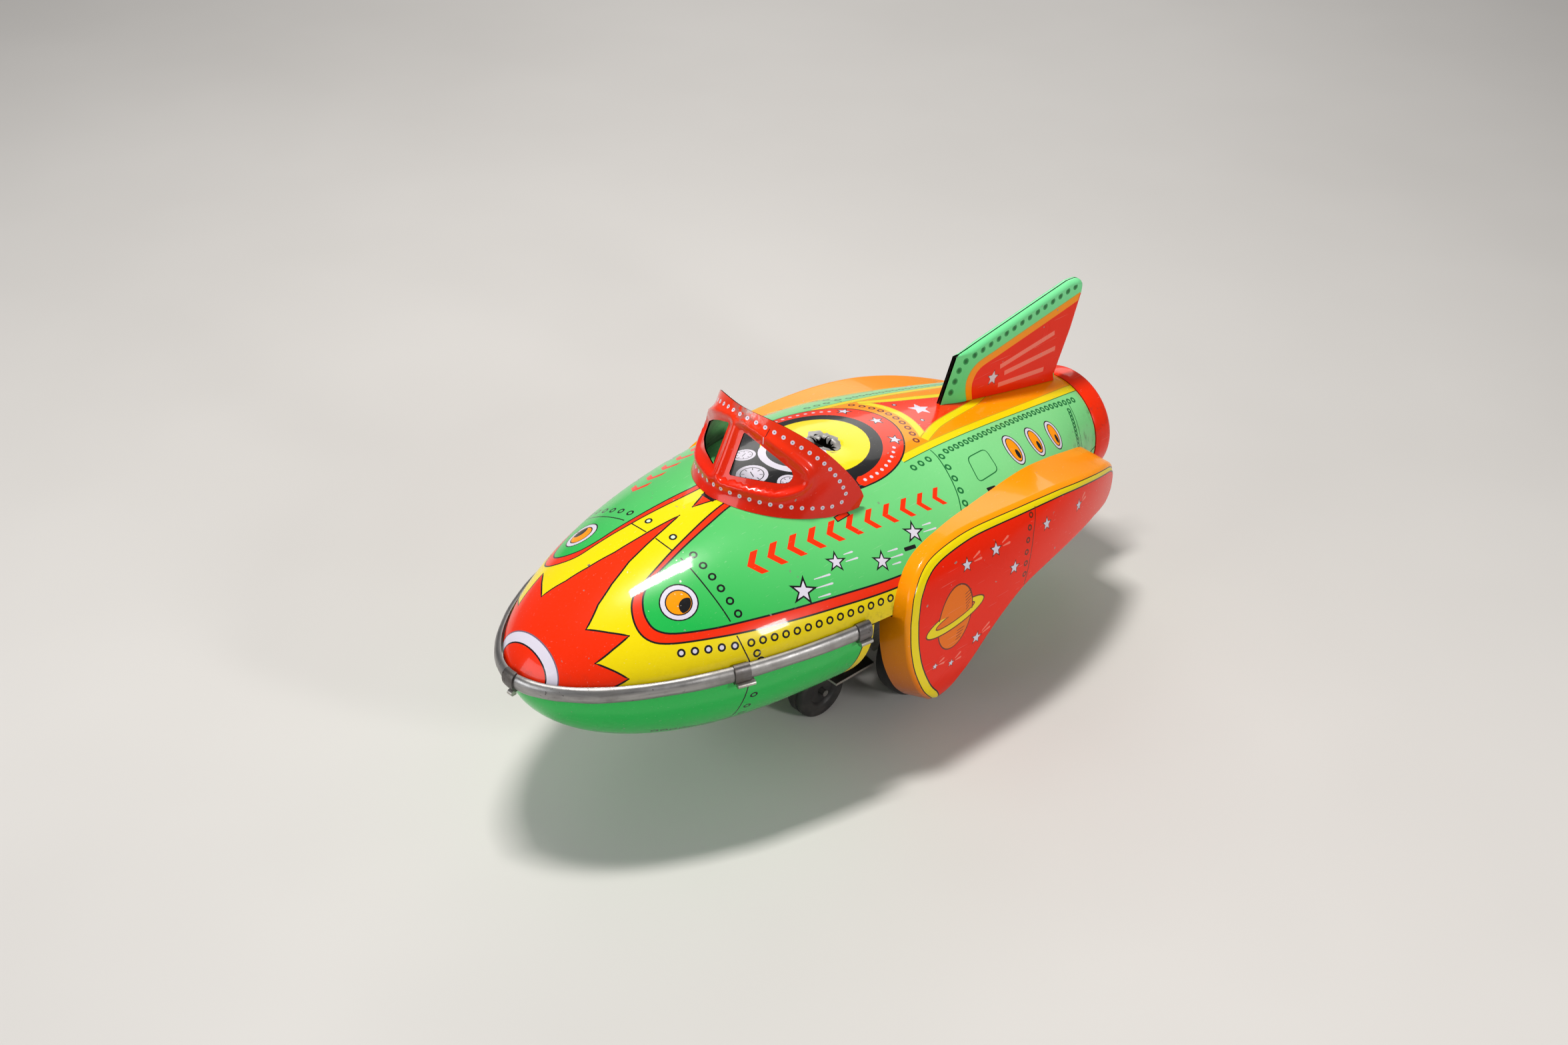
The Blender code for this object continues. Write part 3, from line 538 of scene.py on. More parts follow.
class Nodes:
    """Short-hand for building one material's node tree."""

    def __init__(self, name):
        material = bpy.data.materials.new(name)
        material.use_nodes = True
        MATERIALS[name] = material
        self.tree = material.node_tree
        self.shader = self.tree.nodes["Principled BSDF"]
        self.place = self.tree.nodes.new("ShaderNodeTexCoord").outputs["Object"]

    def add(self, kind, **values):
        node = self.tree.nodes.new(kind)
        for key, value in values.items():
            setattr(node, key, value)
        return node

    def feed(self, socket, value):
        """Set a socket to a number or a colour, or link it to an output."""
        if isinstance(value, (int, float, tuple)):
            socket.default_value = value
        else:
            self.tree.links.new(value, socket)

    def set(self, name, value):
        self.feed(self.shader.inputs[name], value)

    def noise(self, scale, detail=3.0, rough=0.55, stretch=None, turn=(0, 0, 0)):
        where = self.place
        if stretch:
            mapping = self.add("ShaderNodeMapping")
            mapping.inputs["Scale"].default_value = stretch
            mapping.inputs["Rotation"].default_value = turn
            self.feed(mapping.inputs["Vector"], where)
            where = mapping.outputs["Vector"]
        node = self.add("ShaderNodeTexNoise")
        for name, value in (("Scale", scale), ("Detail", detail), ("Roughness", rough), ("Vector", where)):
            self.feed(node.inputs[name], value)
        return node.outputs["Fac"]

    def ramp(self, value, low, high, out_low=0.0, out_high=1.0):
        node = self.add("ShaderNodeMapRange", clamp=True)
        names = ("Value", "From Min", "From Max", "To Min", "To Max")
        for name, given in zip(names, (value, low, high, out_low, out_high)):
            self.feed(node.inputs[name], given)
        return node.outputs["Result"]

    def maths(self, kind, first, second):
        node = self.add("ShaderNodeMath", operation=kind)
        self.feed(node.inputs[0], first)
        self.feed(node.inputs[1], second)
        return node.outputs[0]

    def mix(self, factor, first, second):
        node = self.add("ShaderNodeMix", data_type="RGBA")
        self.feed(node.inputs[0], factor)
        for socket, value in ((node.inputs[6], first), (node.inputs[7], second)):
            self.feed(socket, (*value, 1.0) if isinstance(value, tuple) else value)
        return node.outputs[2]

    def span(self, axis, low, high, out_low=0.0, out_high=1.0):
        """A ramp between two places, in millimetres, along the part's X, Y or Z (0, 1, 2)."""
        node = self.add("ShaderNodeSeparateXYZ")
        self.feed(node.inputs[0], self.place)
        return self.ramp(node.outputs[axis], low * MM, high * MM, out_low, out_high)

    def near(self, point, full, none):
        """1 within one distance of a point in millimetres, fading to 0 at another."""
        node = self.add("ShaderNodeVectorMath", operation="DISTANCE")
        self.feed(node.inputs[0], self.place)
        self.feed(node.inputs[1], tuple(p * MM for p in point))
        return self.ramp(node.outputs["Value"], full * MM, none * MM, 1.0, 0.0)

    def bump(self, height, strength, distance, under=None):
        node = self.add("ShaderNodeBump")
        node.inputs["Strength"].default_value = strength
        node.inputs["Distance"].default_value = distance * MM
        self.feed(node.inputs["Height"], height)
        if under:
            self.feed(node.inputs["Normal"], under)
        return node.outputs["Normal"]


def litho(name, colour, other=None, fade=None, worn=(), grime=0.55, rough=0.24, gloss=1.0):
    """Glossy lithographed tin: thin ink, clear varnish, fine scratches, chips and grime.

    The ink fades from colour to other along a span: on most inks this is painted light and shade, lighter
    high up and darker low down. Worn places are (point, full, none).
    """
    n = Nodes(name)
    broad = n.noise(45.0, 2.0)
    fine = n.noise(1500.0, 2.0)
    share = 0.0
    if fade:
        share = fade(n) if callable(fade) else n.span(*fade)
    # Painted light and shade: the ink's tone changes along the fade's span.
    base = n.mix(share, colour, other or colour)
    base = n.mix(n.ramp(broad, 0.35, 0.7, 0.0, 0.10), base, tuple(c * 0.72 for c in colour))
    grain = n.ramp(fine, 0.3, 0.7, 0.0, 0.07)
    base = n.mix(grain, base, tuple(min(c * 1.2 + 0.03, 1.0) for c in colour))
    band = n.maths("MULTIPLY", n.span(2, SEAM_Z + 1.9, SEAM_Z + 4.6, 1.0, 0.0),
                   n.span(2, SEAM_Z - 4.4, SEAM_Z - 1.9))
    forward = n.span(1, -30, -16, 0.35, 1.0)
    patches = n.ramp(n.noise(420.0, 5.0, 0.7), 0.52, 0.66)
    dirt = n.maths("MULTIPLY", n.maths("MULTIPLY", band, patches), n.maths("MULTIPLY", forward, grime))
    base = n.mix(dirt, base, (0.045, 0.032, 0.018))
    specks = n.ramp(n.noise(800.0, 2.0, 0.4), 0.735, 0.75)
    chips = n.maths("MULTIPLY", specks, n.ramp(n.noise(60.0, 2.0), 0.50, 0.60))
    for point, full, none in worn:
        flakes = n.ramp(n.noise(520.0, 6.0, 0.75), 0.46, 0.56)
        chips = n.maths("MAXIMUM", chips, n.maths("MULTIPLY", n.near(point, full, none), flakes))
    base = n.mix(chips, base, (0.36, 0.34, 0.31))
    hair = n.noise(260.0, 2.0, 0.5, (14.0, 0.35, 14.0), (0.5, 0.3, 0.75))
    scratches = n.ramp(hair, 0.70, 0.73, 0.0, 0.35)
    base = n.mix(n.maths("MULTIPLY", scratches, 0.35), base, (0.75, 0.73, 0.68))
    n.set("Base Color", base)
    n.set("Metallic", n.ramp(chips, 0.0, 1.0, 0.0, 0.85))
    dull = n.ramp(broad, 0.3, 0.7, rough - 0.03, rough + 0.06)
    for marks, amount in ((chips, 0.2), (dirt, 0.35), (scratches, 0.4)):
        dull = n.maths("ADD", dull, n.maths("MULTIPLY", marks, amount))
    n.set("Roughness", dull)
    n.set("IOR", 1.45)
    n.set("Specular IOR Level", 0.16 * gloss)
    n.set("Coat Weight", 0.32 * gloss)
    n.set("Coat Roughness", 0.05)
    n.set("Coat IOR", 1.5)
    wave = n.bump(n.noise(95.0, 2.0, 0.4), 0.35, 0.35)
    skin = n.bump(n.noise(900.0, 3.0), 0.10, 0.05, wave)
    n.set("Normal", n.bump(chips, 0.5, -0.03, skin))
    n.set("Coat Normal", wave)


def steel(name, colour, rough, brushed=0.3, stain=0.35, stain_colour=(0.10, 0.075, 0.05), pits=0.0,
          metal=1.0):
    """Bare tinplate or steel: brushed streaks, cloudy oxide and a few dark spots."""
    n = Nodes(name)
    streaks = n.noise(300.0, 3.0, 0.6, (1.0, 0.08, 9.0))
    cloud = n.noise(140.0, 4.0, 0.6)
    tone = n.mix(n.ramp(streaks, 0.3, 0.7), tuple(c * (1 - brushed) for c in colour), colour)
    tone = n.mix(n.maths("MULTIPLY", n.ramp(cloud, 0.52, 0.72), stain), tone, stain_colour)
    spots = n.ramp(n.noise(1100.0, 2.0, 0.5), 0.66, 0.70, 0.0, 0.6)
    spots = n.maths("MULTIPLY", spots, n.ramp(n.noise(90.0, 2.0), 0.45, 0.6))
    n.set("Base Color", n.mix(spots, tone, (0.035, 0.028, 0.022)))
    n.set("Metallic", metal)
    dull = n.ramp(cloud, 0.3, 0.7, rough - 0.08, rough + 0.12)
    n.set("Roughness", n.maths("ADD", dull, n.maths("MULTIPLY", spots, 0.3)))
    dents = n.bump(n.noise(120.0, 2.0, 0.5), 0.5, 0.25)
    n.set("Normal", n.bump(n.noise(700.0, 5.0, 0.7), 0.25 + pits, 0.06, dents))


def rubber(name, colour, rough=0.62):
    n = Nodes(name)
    dust = n.ramp(n.noise(200.0, 4.0, 0.65), 0.45, 0.75, 0.0, 0.35)
    n.set("Base Color", n.mix(dust, colour, (0.12, 0.105, 0.09)))
    n.set("Roughness", n.ramp(dust, 0.0, 0.35, rough - 0.1, rough + 0.2))
    n.set("Normal", n.bump(n.noise(1300.0, 3.0), 0.4, 0.05))


def green_lit_fade(n):
    """Share of pale green, painted light: paler on top where the overhead light falls and darker low down
    and on the nose; it also pales towards the tail.
    """
    back = n.span(1, -70, 45, -0.10, 0.92)
    return n.ramp(n.maths("ADD", back, n.span(2, 34, 58, -0.35, 0.14)), 0.0, 1.0)


SHIELD_WORN = (1.5, -22.0, 80.0)


def make_materials():
    # Painted light: the green is paler on top and darker low down.
    litho("green", GREEN_DEEP, GREEN_PALE, green_lit_fade)
    # Painted light: the red grows lighter and more orange high up.
    litho("red", RED_INK, (0.88, 0.032, 0.001), (2, 20, 60))
    # Painted shade: the orange darkens low down, as on the pods' lower flanges.
    litho("orange", ORANGE_INK, (0.70, 0.12, 0.001), (2, 12, 36, 0.9, 0.0), grime=0.1, gloss=0.75)
    # Painted shade: the yellow darkens to ochre low down towards the seam; lemon is the same ink without it.
    litho("yellow", YELLOW_INK, (0.74, 0.53, 0.002), (2, 41, 50, 0.5, 0.0), grime=0.4)
    litho("lemon", YELLOW_INK, grime=0.0, gloss=0.8)
    litho("leaf", (0.03, 0.34, 0.09), grime=0.0)
    litho("lilac", LILAC_INK, rough=0.3)
    litho("black", BLACK_INK, rough=0.2)
    litho("violet", (0.17, 0.12, 0.17))
    litho("dark_green", (0.012, 0.16, 0.04))
    litho("pink", (0.95, 0.20, 0.14), grime=0.0)
    # Painted highlight: the fin's mint grows lighter towards its top edge.
    litho("mint", (0.10, 0.68, 0.21), (0.22, 0.80, 0.36), (2, 56, 76))
    litho("pale", (0.66, 0.80, 0.60), rough=0.3)
    litho("ochre", (0.62, 0.36, 0.01))
    litho("brown", (0.15, 0.02, 0.005), grime=0.0)
    litho("deep_orange", (0.86, 0.17, 0.0), grime=0.0, gloss=0.7)
    litho("pod_red", (0.86, 0.016, 0.0), (0.88, 0.022, 0.0), (1, 0, 60), grime=0.0, gloss=0.6)
    # Painted light: the windshield's red grows lighter towards its top; the chips near its top are real
    # wear.
    litho("shield_red", (0.76, 0.014, 0.0), (0.86, 0.035, 0.003), (2, 64, 80),
          worn=[(SHIELD_WORN, 1.5, 5.5)], rough=0.2, gloss=1.25)
    litho("worn_edge", (0.55, 0.05, 0.02), worn=[(SHIELD_WORN, 4.0, 14.0)], rough=0.3)
    litho("ring_inside", (0.55, 0.02, 0.004), worn=[((0, 85, 34), 2.0, 6.0)])
    steel("trim_steel", (0.40, 0.39, 0.385), 0.40, 0.25, 0.45, (0.12, 0.11, 0.10), 0.3)
    steel("clip_steel", (0.19, 0.18, 0.18), 0.38, stain=0.5, pits=0.4)
    steel("tin", (0.58, 0.56, 0.52), 0.34)
    steel("torn_tin", (0.40, 0.39, 0.38), 0.36, stain=0.45, stain_colour=(0.09, 0.07, 0.05), pits=0.3,
          metal=0.4)
    steel("inside", (0.40, 0.38, 0.34), 0.42, stain=0.5)
    steel("rim", (0.42, 0.39, 0.35), 0.40, stain=0.6)
    steel("shaft_steel", (0.42, 0.41, 0.40), 0.28)
    steel("brass", (0.72, 0.50, 0.17), 0.33, stain=0.45, stain_colour=(0.18, 0.10, 0.03))
    steel("lead", (0.25, 0.25, 0.26), 0.55, stain=0.4)
    rubber("rubber", (0.016, 0.015, 0.015))


# ---------------------------------------------------------------- upper hull

# The flame's edge from the ridge down to the seam, and the two edges of the side panel's red
# border, as (y, degrees up from the seam).
FLAME = [(-42.0, 0.0), (-47.0, 1.6), (-52.0, 3.0), (-57.8, 5.2), (-63.7, 9.8), (-68.5, 15.2), (-73.4, 25.2),
         (-70.5, 35.8), (-67.8, 44.0), (-71.6, 48.6), (-75.6, 54.9), (-73.0, 68.2), (-71.5, 76.6),
         (-74.4, 83.5), (-77.8, 90.0)]
PANEL_INNER = [(-27.0, 79.6), (-32.0, 80.6), (-39.0, 78.3), (-46.7, 75.2), (-52.9, 72.0), (-56.7, 69.7),
               (-59.6, 66.4), (-61.5, 62.0), (-63.0, 54.3), (-63.3, 45.7), (-62.3, 40.0), (-60.0, 35.9),
               (-55.0, 32.0), (-49.1, 29.2), (-36.8, 25.4), (-24.9, 22.6), (-13.0, 19.8), (0.0, 18.2),
               (14.0, 17.4), (30.0, 17.0)]
PANEL_OUTER = [(-27.5, 83.6), (-32.7, 83.3), (-39.6, 81.2), (-49.4, 76.6), (-53.7, 74.0), (-58.1, 70.9),
               (-61.9, 67.4), (-64.1, 61.6), (-65.5, 52.8), (-65.8, 44.0), (-64.9, 37.0), (-62.8, 32.3),
               (-58.3, 28.3), (-48.7, 23.4), (-37.8, 20.0), (-26.4, 17.4), (-13.8, 14.7), (0.0, 13.2),
               (14.0, 12.6), (30.0, 12.4)]
PANEL_REAR = [(30.0, 17.0), (31.0, 0.0), (TAIL_Y, 0.0), (TAIL_Y, 90.0), (-27.0, 90.0), (-27.0, 79.6)]

# Printed seams and rows of rivets: points as above, the count of rivets (0 for a line), its look.
FRONT_SEAMS = [
    ([(-49.6, 71.0), (-49.6, 52.0), (-49.2, 31.0)], 0, dict(ink="black", width=FINE)),
    ([(-49.3, 22.6), (-48.8, 12.0), (-47.8, 0.0)], 0, dict(ink="black", width=FINE)),
    ([(-60.8, 23.2), (-55.5, 20.2), (-50.4, 17.3)], 5, dict(ink="lilac")),
    ([(-47.0, 16.0), (-38.7, 13.9), (-30.0, 12.6), (-20.7, 11.4), (-8.0, 9.9), (6.0, 9.4), (24.0, 9.2)], 28,
     dict(ink="yellow")),
]
SIDE_SEAMS = [
    ([(20.0, 66.0), (20.0, 61.8), (18.6, 52.1), (16.7, 41.9), (14.7, 34.1), (13.2, 26.0)], 0,
     dict(ink="dark_green", width=0.32)),
    ([(21.2, 61.2), (20.2, 55.5), (19.4, 49.8), (18.4, 43.5), (17.2, 37.2), (15.8, 30.5)], 6,
     dict(edge="dark_green", ring=0.5)),
    ([(23.7, 62.9), (34.5, 63.8), (45.4, 64.4), (56.7, 64.0), (68.0, 61.6), (78.6, 56.4)], 29,
     dict(edge="dark_green", radius=0.86, ring=0.5)),
    ([(74.2, 50.5), (73.0, 40.0), (71.9, 30.9), (71.0, 20.0), (70.6, 8.0)], 14,
     dict(edge="dark_green", radius=0.76, ring=0.46)),
    ([(75.8, 56.0), (74.9, 41.7), (73.6, 26.4), (72.6, 8.0), (72.3, 0.0)], 0,
     dict(ink="dark_green", width=0.28)),
]
# Stars: place, radius, turn, and tails as (how far behind, aside, length).
STARS = [((-32.0, 31.2), 2.45, -0.42, [(3.2, 1.7, 3.9), (3.0, -0.2, 4.0), (2.8, -2.2, 2.9)]),
         ((-21.9, 37.4), 1.85, -0.35, [(2.4, 1.0, 2.2), (2.2, -0.6, 3.0)]),
         ((-11.8, 29.0), 1.9, -0.40, [(2.2, 1.6, 2.6), (2.4, 0.1, 3.2), (2.2, -1.4, 2.2)]),
         ((-0.6, 34.9), 2.1, -0.35, [(2.9, 0.9, 2.4), (2.5, -0.6, 3.6)])]
CHEVRON = np.array([(-1.5, 0.0), (0.7, 2.75), (2.5, 2.75), (0.3, 0.0), (2.5, -2.75), (0.7, -2.75)])


def shell_print(surface, ink):
    """A print that covers a whole hull shell."""
    border = [(0, 0), (surface.length, 0), (surface.length, surface.girth), (0, surface.girth), (0, 0)]
    return Print(surface, straight(border, 2.0)[:-1], ink)


def streak(length, width):
    return np.array([(0, -width * 0.35), (length, -width * 0.9), (length + 0.3, 0), (length, width * 0.9),
                     (0, width * 0.35)])


def draw_porthole(art, place, wide, tall, ring, turn, sign, pupil):
    """A window with a pale ring, orange glass and a dark reflection (x, y and radius)."""
    glass = np.array([wide, tall]) - ring - 0.28
    rings = [(0.0, "black", 26), (0.3, "lilac", 24), (ring, "black", 24), (ring + 0.28, "orange", 24)]
    for shrink, ink, sides in rings:
        art.stamp(place, ellipse(wide - shrink, tall - shrink, sides), ink, turn * sign)
    lens = []
    for point in circle(pupil[2], 28):
        point = np.array(point) + [pupil[0], pupil[1] * sign]
        lens.append(point * min(0.97 / np.linalg.norm(point), 1.0) * glass)
    art.stamp(place, lens, "black", turn * sign)


def draw_front(art, sign):
    """The green side panel in its red border, the nose's window and the rivets below."""
    inner, outer = UPPER.smooth(PANEL_INNER, sign), UPPER.smooth(PANEL_OUTER, sign)
    rear = straight(UPPER.flat(PANEL_REAR, sign), 3.0)
    art.fill(np.vstack([inner, rear[1:-1]]), "green")
    art.fill(np.vstack([outer, inner[::-1]]), "red")
    art.line(inner, "black")
    art.line(outer, "black")
    art.seams(FRONT_SEAMS, sign)
    art.rivets(UPPER.flat([(-47.1, 69.2), (-47.2, 50.0), (-47.0, 33.4)], sign), 6)
    place = UPPER.spot((-56.1, 51.3), sign)
    draw_porthole(art, place, 4.15, 4.15, 1.25, 0.0, sign, (0.50, -0.58, 0.72))
    for spot in ((-46.4, 8.6), (-45.8, 3.2)):
        art.rivet(UPPER.spot(spot, sign), ink="yellow")


def draw_sides(art, sign):
    """Shooting stars, a row of chevrons, the hatch, portholes and slots on one side."""
    for place, radius, turn, tails in STARS:
        place = UPPER.spot(place, sign)
        art.stamp(place, star(radius * 1.42, 0.39), "black", turn * sign)
        art.stamp(place, star(radius * 0.9), "lilac", turn * sign)
        for behind, aside, length in tails:
            art.stamp(place, (streak(length, 0.24) + [behind, aside]) * [1.0, sign], "lilac", -0.10 * sign)
    for i in range(11):
        y = -38.2 + 4.9 * i
        angle = 52.2 - 7.2 * float(smooth_step((y + 40) / 55))
        art.stamp(UPPER.spot((y, angle), sign), CHEVRON * (1.0 - 0.018 * i), "red", -0.1 * sign)
    art.seams(SIDE_SEAMS, sign)
    row = UPPER.flat([(11.5, 61.2), (14.4, 61.8), (17.1, 62.3)], sign)
    art.rivets(row, 3, edge="dark_green", ring=0.5)
    hatch = rounded(UPPER.flat([(27.4, 56.0), (35.0, 56.7), (33.7, 44.0), (25.2, 42.9)], sign), 1.6)
    art.line(hatch, "dark_green", FINE, closed=True)
    for y, angle, wide, tall in ((43.8, 49.3, 2.95, 4.5), (53.2, 47.0, 2.8, 4.3), (61.8, 43.4, 2.65, 4.1)):
        place = UPPER.spot((y, angle), sign)
        draw_porthole(art, place, wide, tall, 0.95, -0.36, sign, (0.30, -0.38, 0.42))
    for spot in ((27.6, 37.6), (-3.6, 29.2)):
        art.stamp(UPPER.spot(spot, sign), rounded(oblong(1.6, 0.45), 0.2, 2), "black", -0.1 * sign)


def oval(centre_y, wide, long, start, end, power=2.0):
    """Part of an oval seen from above, from one angle to another, as (x, y) points."""
    points = []
    for degrees in np.linspace(start, end, 41):
        c, s = math.cos(math.radians(degrees)), math.sin(math.radians(degrees))
        points.append((wide * math.copysign(abs(c) ** (2 / power), c),
                       centre_y + long * math.copysign(abs(s) ** (2 / power), s)))
    return points


def beside_hole(angle, reach):
    """A place (x, y) round the torn hole."""
    return HOLE_CENTRE + reach * HOLE_STRETCH * [math.cos(angle), math.sin(angle)]


def draw_cockpit(art):
    """The seat's yellow oval in black, with a red surround, a dashboard and the torn hole."""
    over = UPPER.over
    front = oval(-1.0, 17.3, 26.5, 180, 360, 2.2)
    art.edged(over(oval(-1.0, 17.3, 20.9, 0, 180) + front[1:-1]), "black")
    corner = [(14.3, -3.2), (14.9, -4.2), (16.2, -4.5), (17.2, -3.5)]
    hollow = oval(-2.4, 14.3, 15.8, -3, 183)
    surround = oval(-1.0, 17.3, 20.9, -7, 187) + [(-x, y) for x, y in corner[::-1]] + hollow[::-1] + corner
    art.edged(over(surround), "red")
    art.fill(over(oval(-2.4, 11.6, 13.1, 0, 360)[:-1]), "yellow")
    for place, turn in (((0.0, 17.0), 0.0), ((8.4, 14.6), -0.5), ((-8.4, 14.6), 0.5)):
        art.stamp(over([place])[0], star(2.15), "black", turn - math.pi / 2)
        art.stamp(over([place])[0], star(1.5, 0.45), "lilac", turn - math.pi / 2)
    for sign in (-1, 1):
        for i in range(9):
            angle = math.radians(-2 + 6.2 * i)
            place = (sign * 15.75 * math.cos(angle), -1.4 + 18.3 * math.sin(angle))
            art.stamp(over([place])[0], circle(0.45, 8), "lilac")
    draw_dashboard(art)
    for sign in (-1, 1):
        lilac_corner = [(sign * 16.0, -5.4), (sign * 17.2, -4.9), (sign * 17.1, -6.6), (sign * 16.2, -6.9)]
        art.fill(over(lilac_corner), "lilac")
    rng = random.Random(5)
    patch = []
    for i in range(40):
        angle = 2 * math.pi * i / 40
        behind = max(math.cos(angle - 2.2), 0.0)
        lift = 0.2 + 0.5 * rng.random() + (0.5 + 1.1 * rng.random()) * behind
        patch.append(beside_hole(angle, HOLE_RADIUS + lift))
    art.fill(over(patch), "torn_tin")
    rng = random.Random(11)
    edge = []
    for i in range(30):
        angle = 2 * math.pi * i / 30
        reach = HOLE_RADIUS * (0.92 + 0.22 * rng.random() + 0.12 * math.sin(3 * angle + 1.0))
        edge.append(beside_hole(angle, reach))
    art.fill(over(edge), "cut")
    art.fill(over([(4.7, -2.5), (5.3, -2.2), (5.8, -1.0), (5.2, -1.7)]), "black")


def draw_dashboard(art):
    """Printed dials and a steering wheel in front of the seat."""
    over = UPPER.over
    dials = [((0.6, -21.9), 3.6, 1.2), ((-7.0, -17.6), 2.7, 0.3), ((8.0, -17.6), 2.7, -0.6)]
    for place, radius, hand in dials:
        centre = over([place])[0]
        for share, sides, ink in ((1.0, 26, "lilac"), (0.76, 24, "black"), (0.70, 24, "lilac")):
            art.stamp(centre, circle(radius * share, sides), ink)
        tick = np.array(oblong(0.10, 0.03)) + [0.56, 0.0]
        for i in range(8):
            art.stamp(centre, tick * radius, "black", 2 * math.pi * i / 8)
        needle = np.array([(-0.28, -0.035), (0.30, -0.03), (0.30, 0.03), (-0.28, 0.035)])
        art.stamp(centre, needle * radius, "black", hand)
    hub = np.array([0.0, -9.4])
    for radius, ink in ((7.7, "lilac"), (5.9, "black")):
        art.fill(over(hub + circle(radius, 40)), ink)
    for angle in (90, 205, 335):
        c, s = math.cos(math.radians(angle)), math.sin(math.radians(angle))
        bar = np.array([(0, -0.5), (6.2, -0.7), (6.2, 0.7), (0, 0.5)])
        art.fill(over(hub + bar @ np.array([[c, s], [-s, c]])), "lilac")
    art.fill(over(hub + circle(1.5, 16)), "lilac")


def draw_spine(art):
    """The orange spine behind the seat, with its yellow edges and the red point in front."""
    over = UPPER.over
    ys = np.linspace(10.5, TAIL_Y, 24)
    edge = 15.2 - 0.1277 * (ys - 12.5)
    for sign in (-1, 1):
        side = np.stack([sign * edge, ys], 1)
        inner = np.stack([sign * (edge - 2.0), ys], 1)[::-1]
        art.fill(over(np.vstack([side, [(0.0, TAIL_Y), (0.0, 10.5)]])), "orange")
        art.fill(over(np.vstack([side, inner])), "yellow")
        art.line(over(side), "dark_green", 0.22)
        art.line(over(inner), "ochre", FINE)
    front = [(x, 24.7 - 0.0245 * x * x) for x in np.linspace(-10.4, 10.4, 22)]
    arms = [(9.9, 24.0), (7.6, 29.5), (5.9, 35.6), (4.4, 41.6), (2.6, 48.0), (0.0, 54.0)]
    art.fill(over(front + arms + [(-x, y) for x, y in arms[-2::-1]]), "red")
    art.line(over(front), "ochre", 2.4)
    art.line(over(front), "yellow", 1.9)
    for sign in (-1, 1):
        arm = over(curve([(sign * x, y) for x, y in [(11.0, 21.8)] + arms]))
        art.line(arm, "ochre", 2.3)
        art.line(arm, "yellow", 1.8)
        for i in range(5):
            x = 10.6 - 2.35 * i
            place = over([(sign * x, 22.3 - 0.0262 * x * x)])[0]
            art.rivet(place, ink="orange", radius=0.9, ring=0.46, edge="brown")
        art.rivet(over([(sign * 4.6, 27.6)])[0], ink="lilac", radius=0.62, ring=0.25)
    art.stamp(over([(0.0, 31.5)])[0], star(2.9, 0.46), "lilac", -math.pi / 2)


def build_upper_hull():
    flat, over = UPPER.flat, UPPER.over
    art = shell_print(UPPER, "yellow")
    for sign in (-1, 1):
        draw_front(art, sign)
    near = [(y, 90.0 - off) for y, off in FLAME]
    far = [(y, 90.0 + off) for y, off in FLAME]
    outline = straight(flat(near[::-1] + far[1:]), 1.5)
    nose = flat([(NOSE_Y + 0.1, 180.0), (NOSE_Y + 0.1, 0.0)])
    art.fill(np.vstack([outline, nose]), "red")
    art.line(outline, "black")
    ring_outer = [(-82.9 + 2.4 * math.sin(math.radians(a)) ** 1.3, a) for a in range(0, 181, 6)]
    ring_inner = [(-84.4 + 1.9 * math.sin(math.radians(a)) ** 1.3, a) for a in range(180, -1, -6)]
    art.fill(flat(ring_outer + ring_inner), "lilac")
    art.line(flat(ring_outer), "violet", FINE)
    art.line(flat(ring_inner), "black", 0.34)
    tip = flat([(-30.5, 84.6), (-33.9, 87.2), (-38.4, 90.0), (-33.9, 92.8), (-30.5, 95.4), (-30.5, 84.6)])
    art.edged(straight(tip, 1.5)[:-1], "red")
    for sign in (-1, 1):
        art.line(flat([(-49.9, 87.0), (-49.7, 76.6)], sign), "black", FINE)
        art.rivet(UPPER.spot((-47.2, 82.2), sign), ink="pale")
        draw_sides(art, sign)
    draw_spine(art)
    draw_cockpit(art)
    for sign in (-1, 1):
        place = over([(sign * 20.75, -13.9)])[0]
        art.stamp(place, oblong(1.9, 0.75), "black", 0.08 * sign)
        art.stamp(place, oblong(1.6, 0.5), "red", 0.08 * sign)
    art.stamp(UPPER.spot((-33.9, 90.0), 1), [(-0.5, -1.9), (0.4, -1.9), (0.4, 1.9), (-0.5, 1.9)], "black")
    finish_piece(wrap("upper_shell", art), "shell", ["upper_hull"], "green_litho")


# Tongues of torn tin: place round the hole in degrees, width and how far each bends.
TONGUES = [(8, 2.0, -1.0), (36, 2.6, -0.4), (62, 3.0, -0.5), (100, 2.4, -0.9), (128, 3.4, -0.25),
           (158, 3.6, -0.3), (190, 3.0, -0.5), (225, 2.2, -1.1), (270, 2.0, -1.2), (318, 2.2, -0.9)]


def build_torn_flaps():
    """Bent tongues of bare tin left round the torn hole."""
    rng = random.Random(3)
    size = 6
    points, faces = [], []
    for degrees, width, curl in TONGUES:
        for i in range(size):
            t = i / (size - 1)
            reach = HOLE_RADIUS + 0.55 - 2.2 * math.sin(t * 1.2)
            bend = curl * 1.5 * (1 - math.cos(t * 1.5)) + 0.35 * math.sin(t * 3.0)
            for j in range(size):
                across = (j / (size - 1) - 0.5) * width * (1 - 0.75 * t ** 1.6)
                angle = math.radians(degrees) + across / (HOLE_RADIUS + 0.3)
                points.append((*beside_hole(angle, reach), bend + 0.30 * (rng.random() - 0.3) * t))
                if i and j:
                    last = len(points) - 1
                    faces.append([last - size - 1, last - size, last, last - 1])
    points = np.array(points)
    points[:, 2] += skin_z(points[:, 0], points[:, 1]) + 0.06
    normals = np.zeros_like(points)
    for face in faces:
        a, b, c, d = points[face]
        normals[face] += np.cross(c - a, d - b)
    inks = ["torn_tin"] * len(faces)
    made = thin_sheet("torn_flaps", points, unit(normals), faces, inks, 0.3, "torn_tin", "torn_tin")
    finish_piece(made, "shell", [], "bare_tin")


# ---------------------------------------------------------------- lower shells

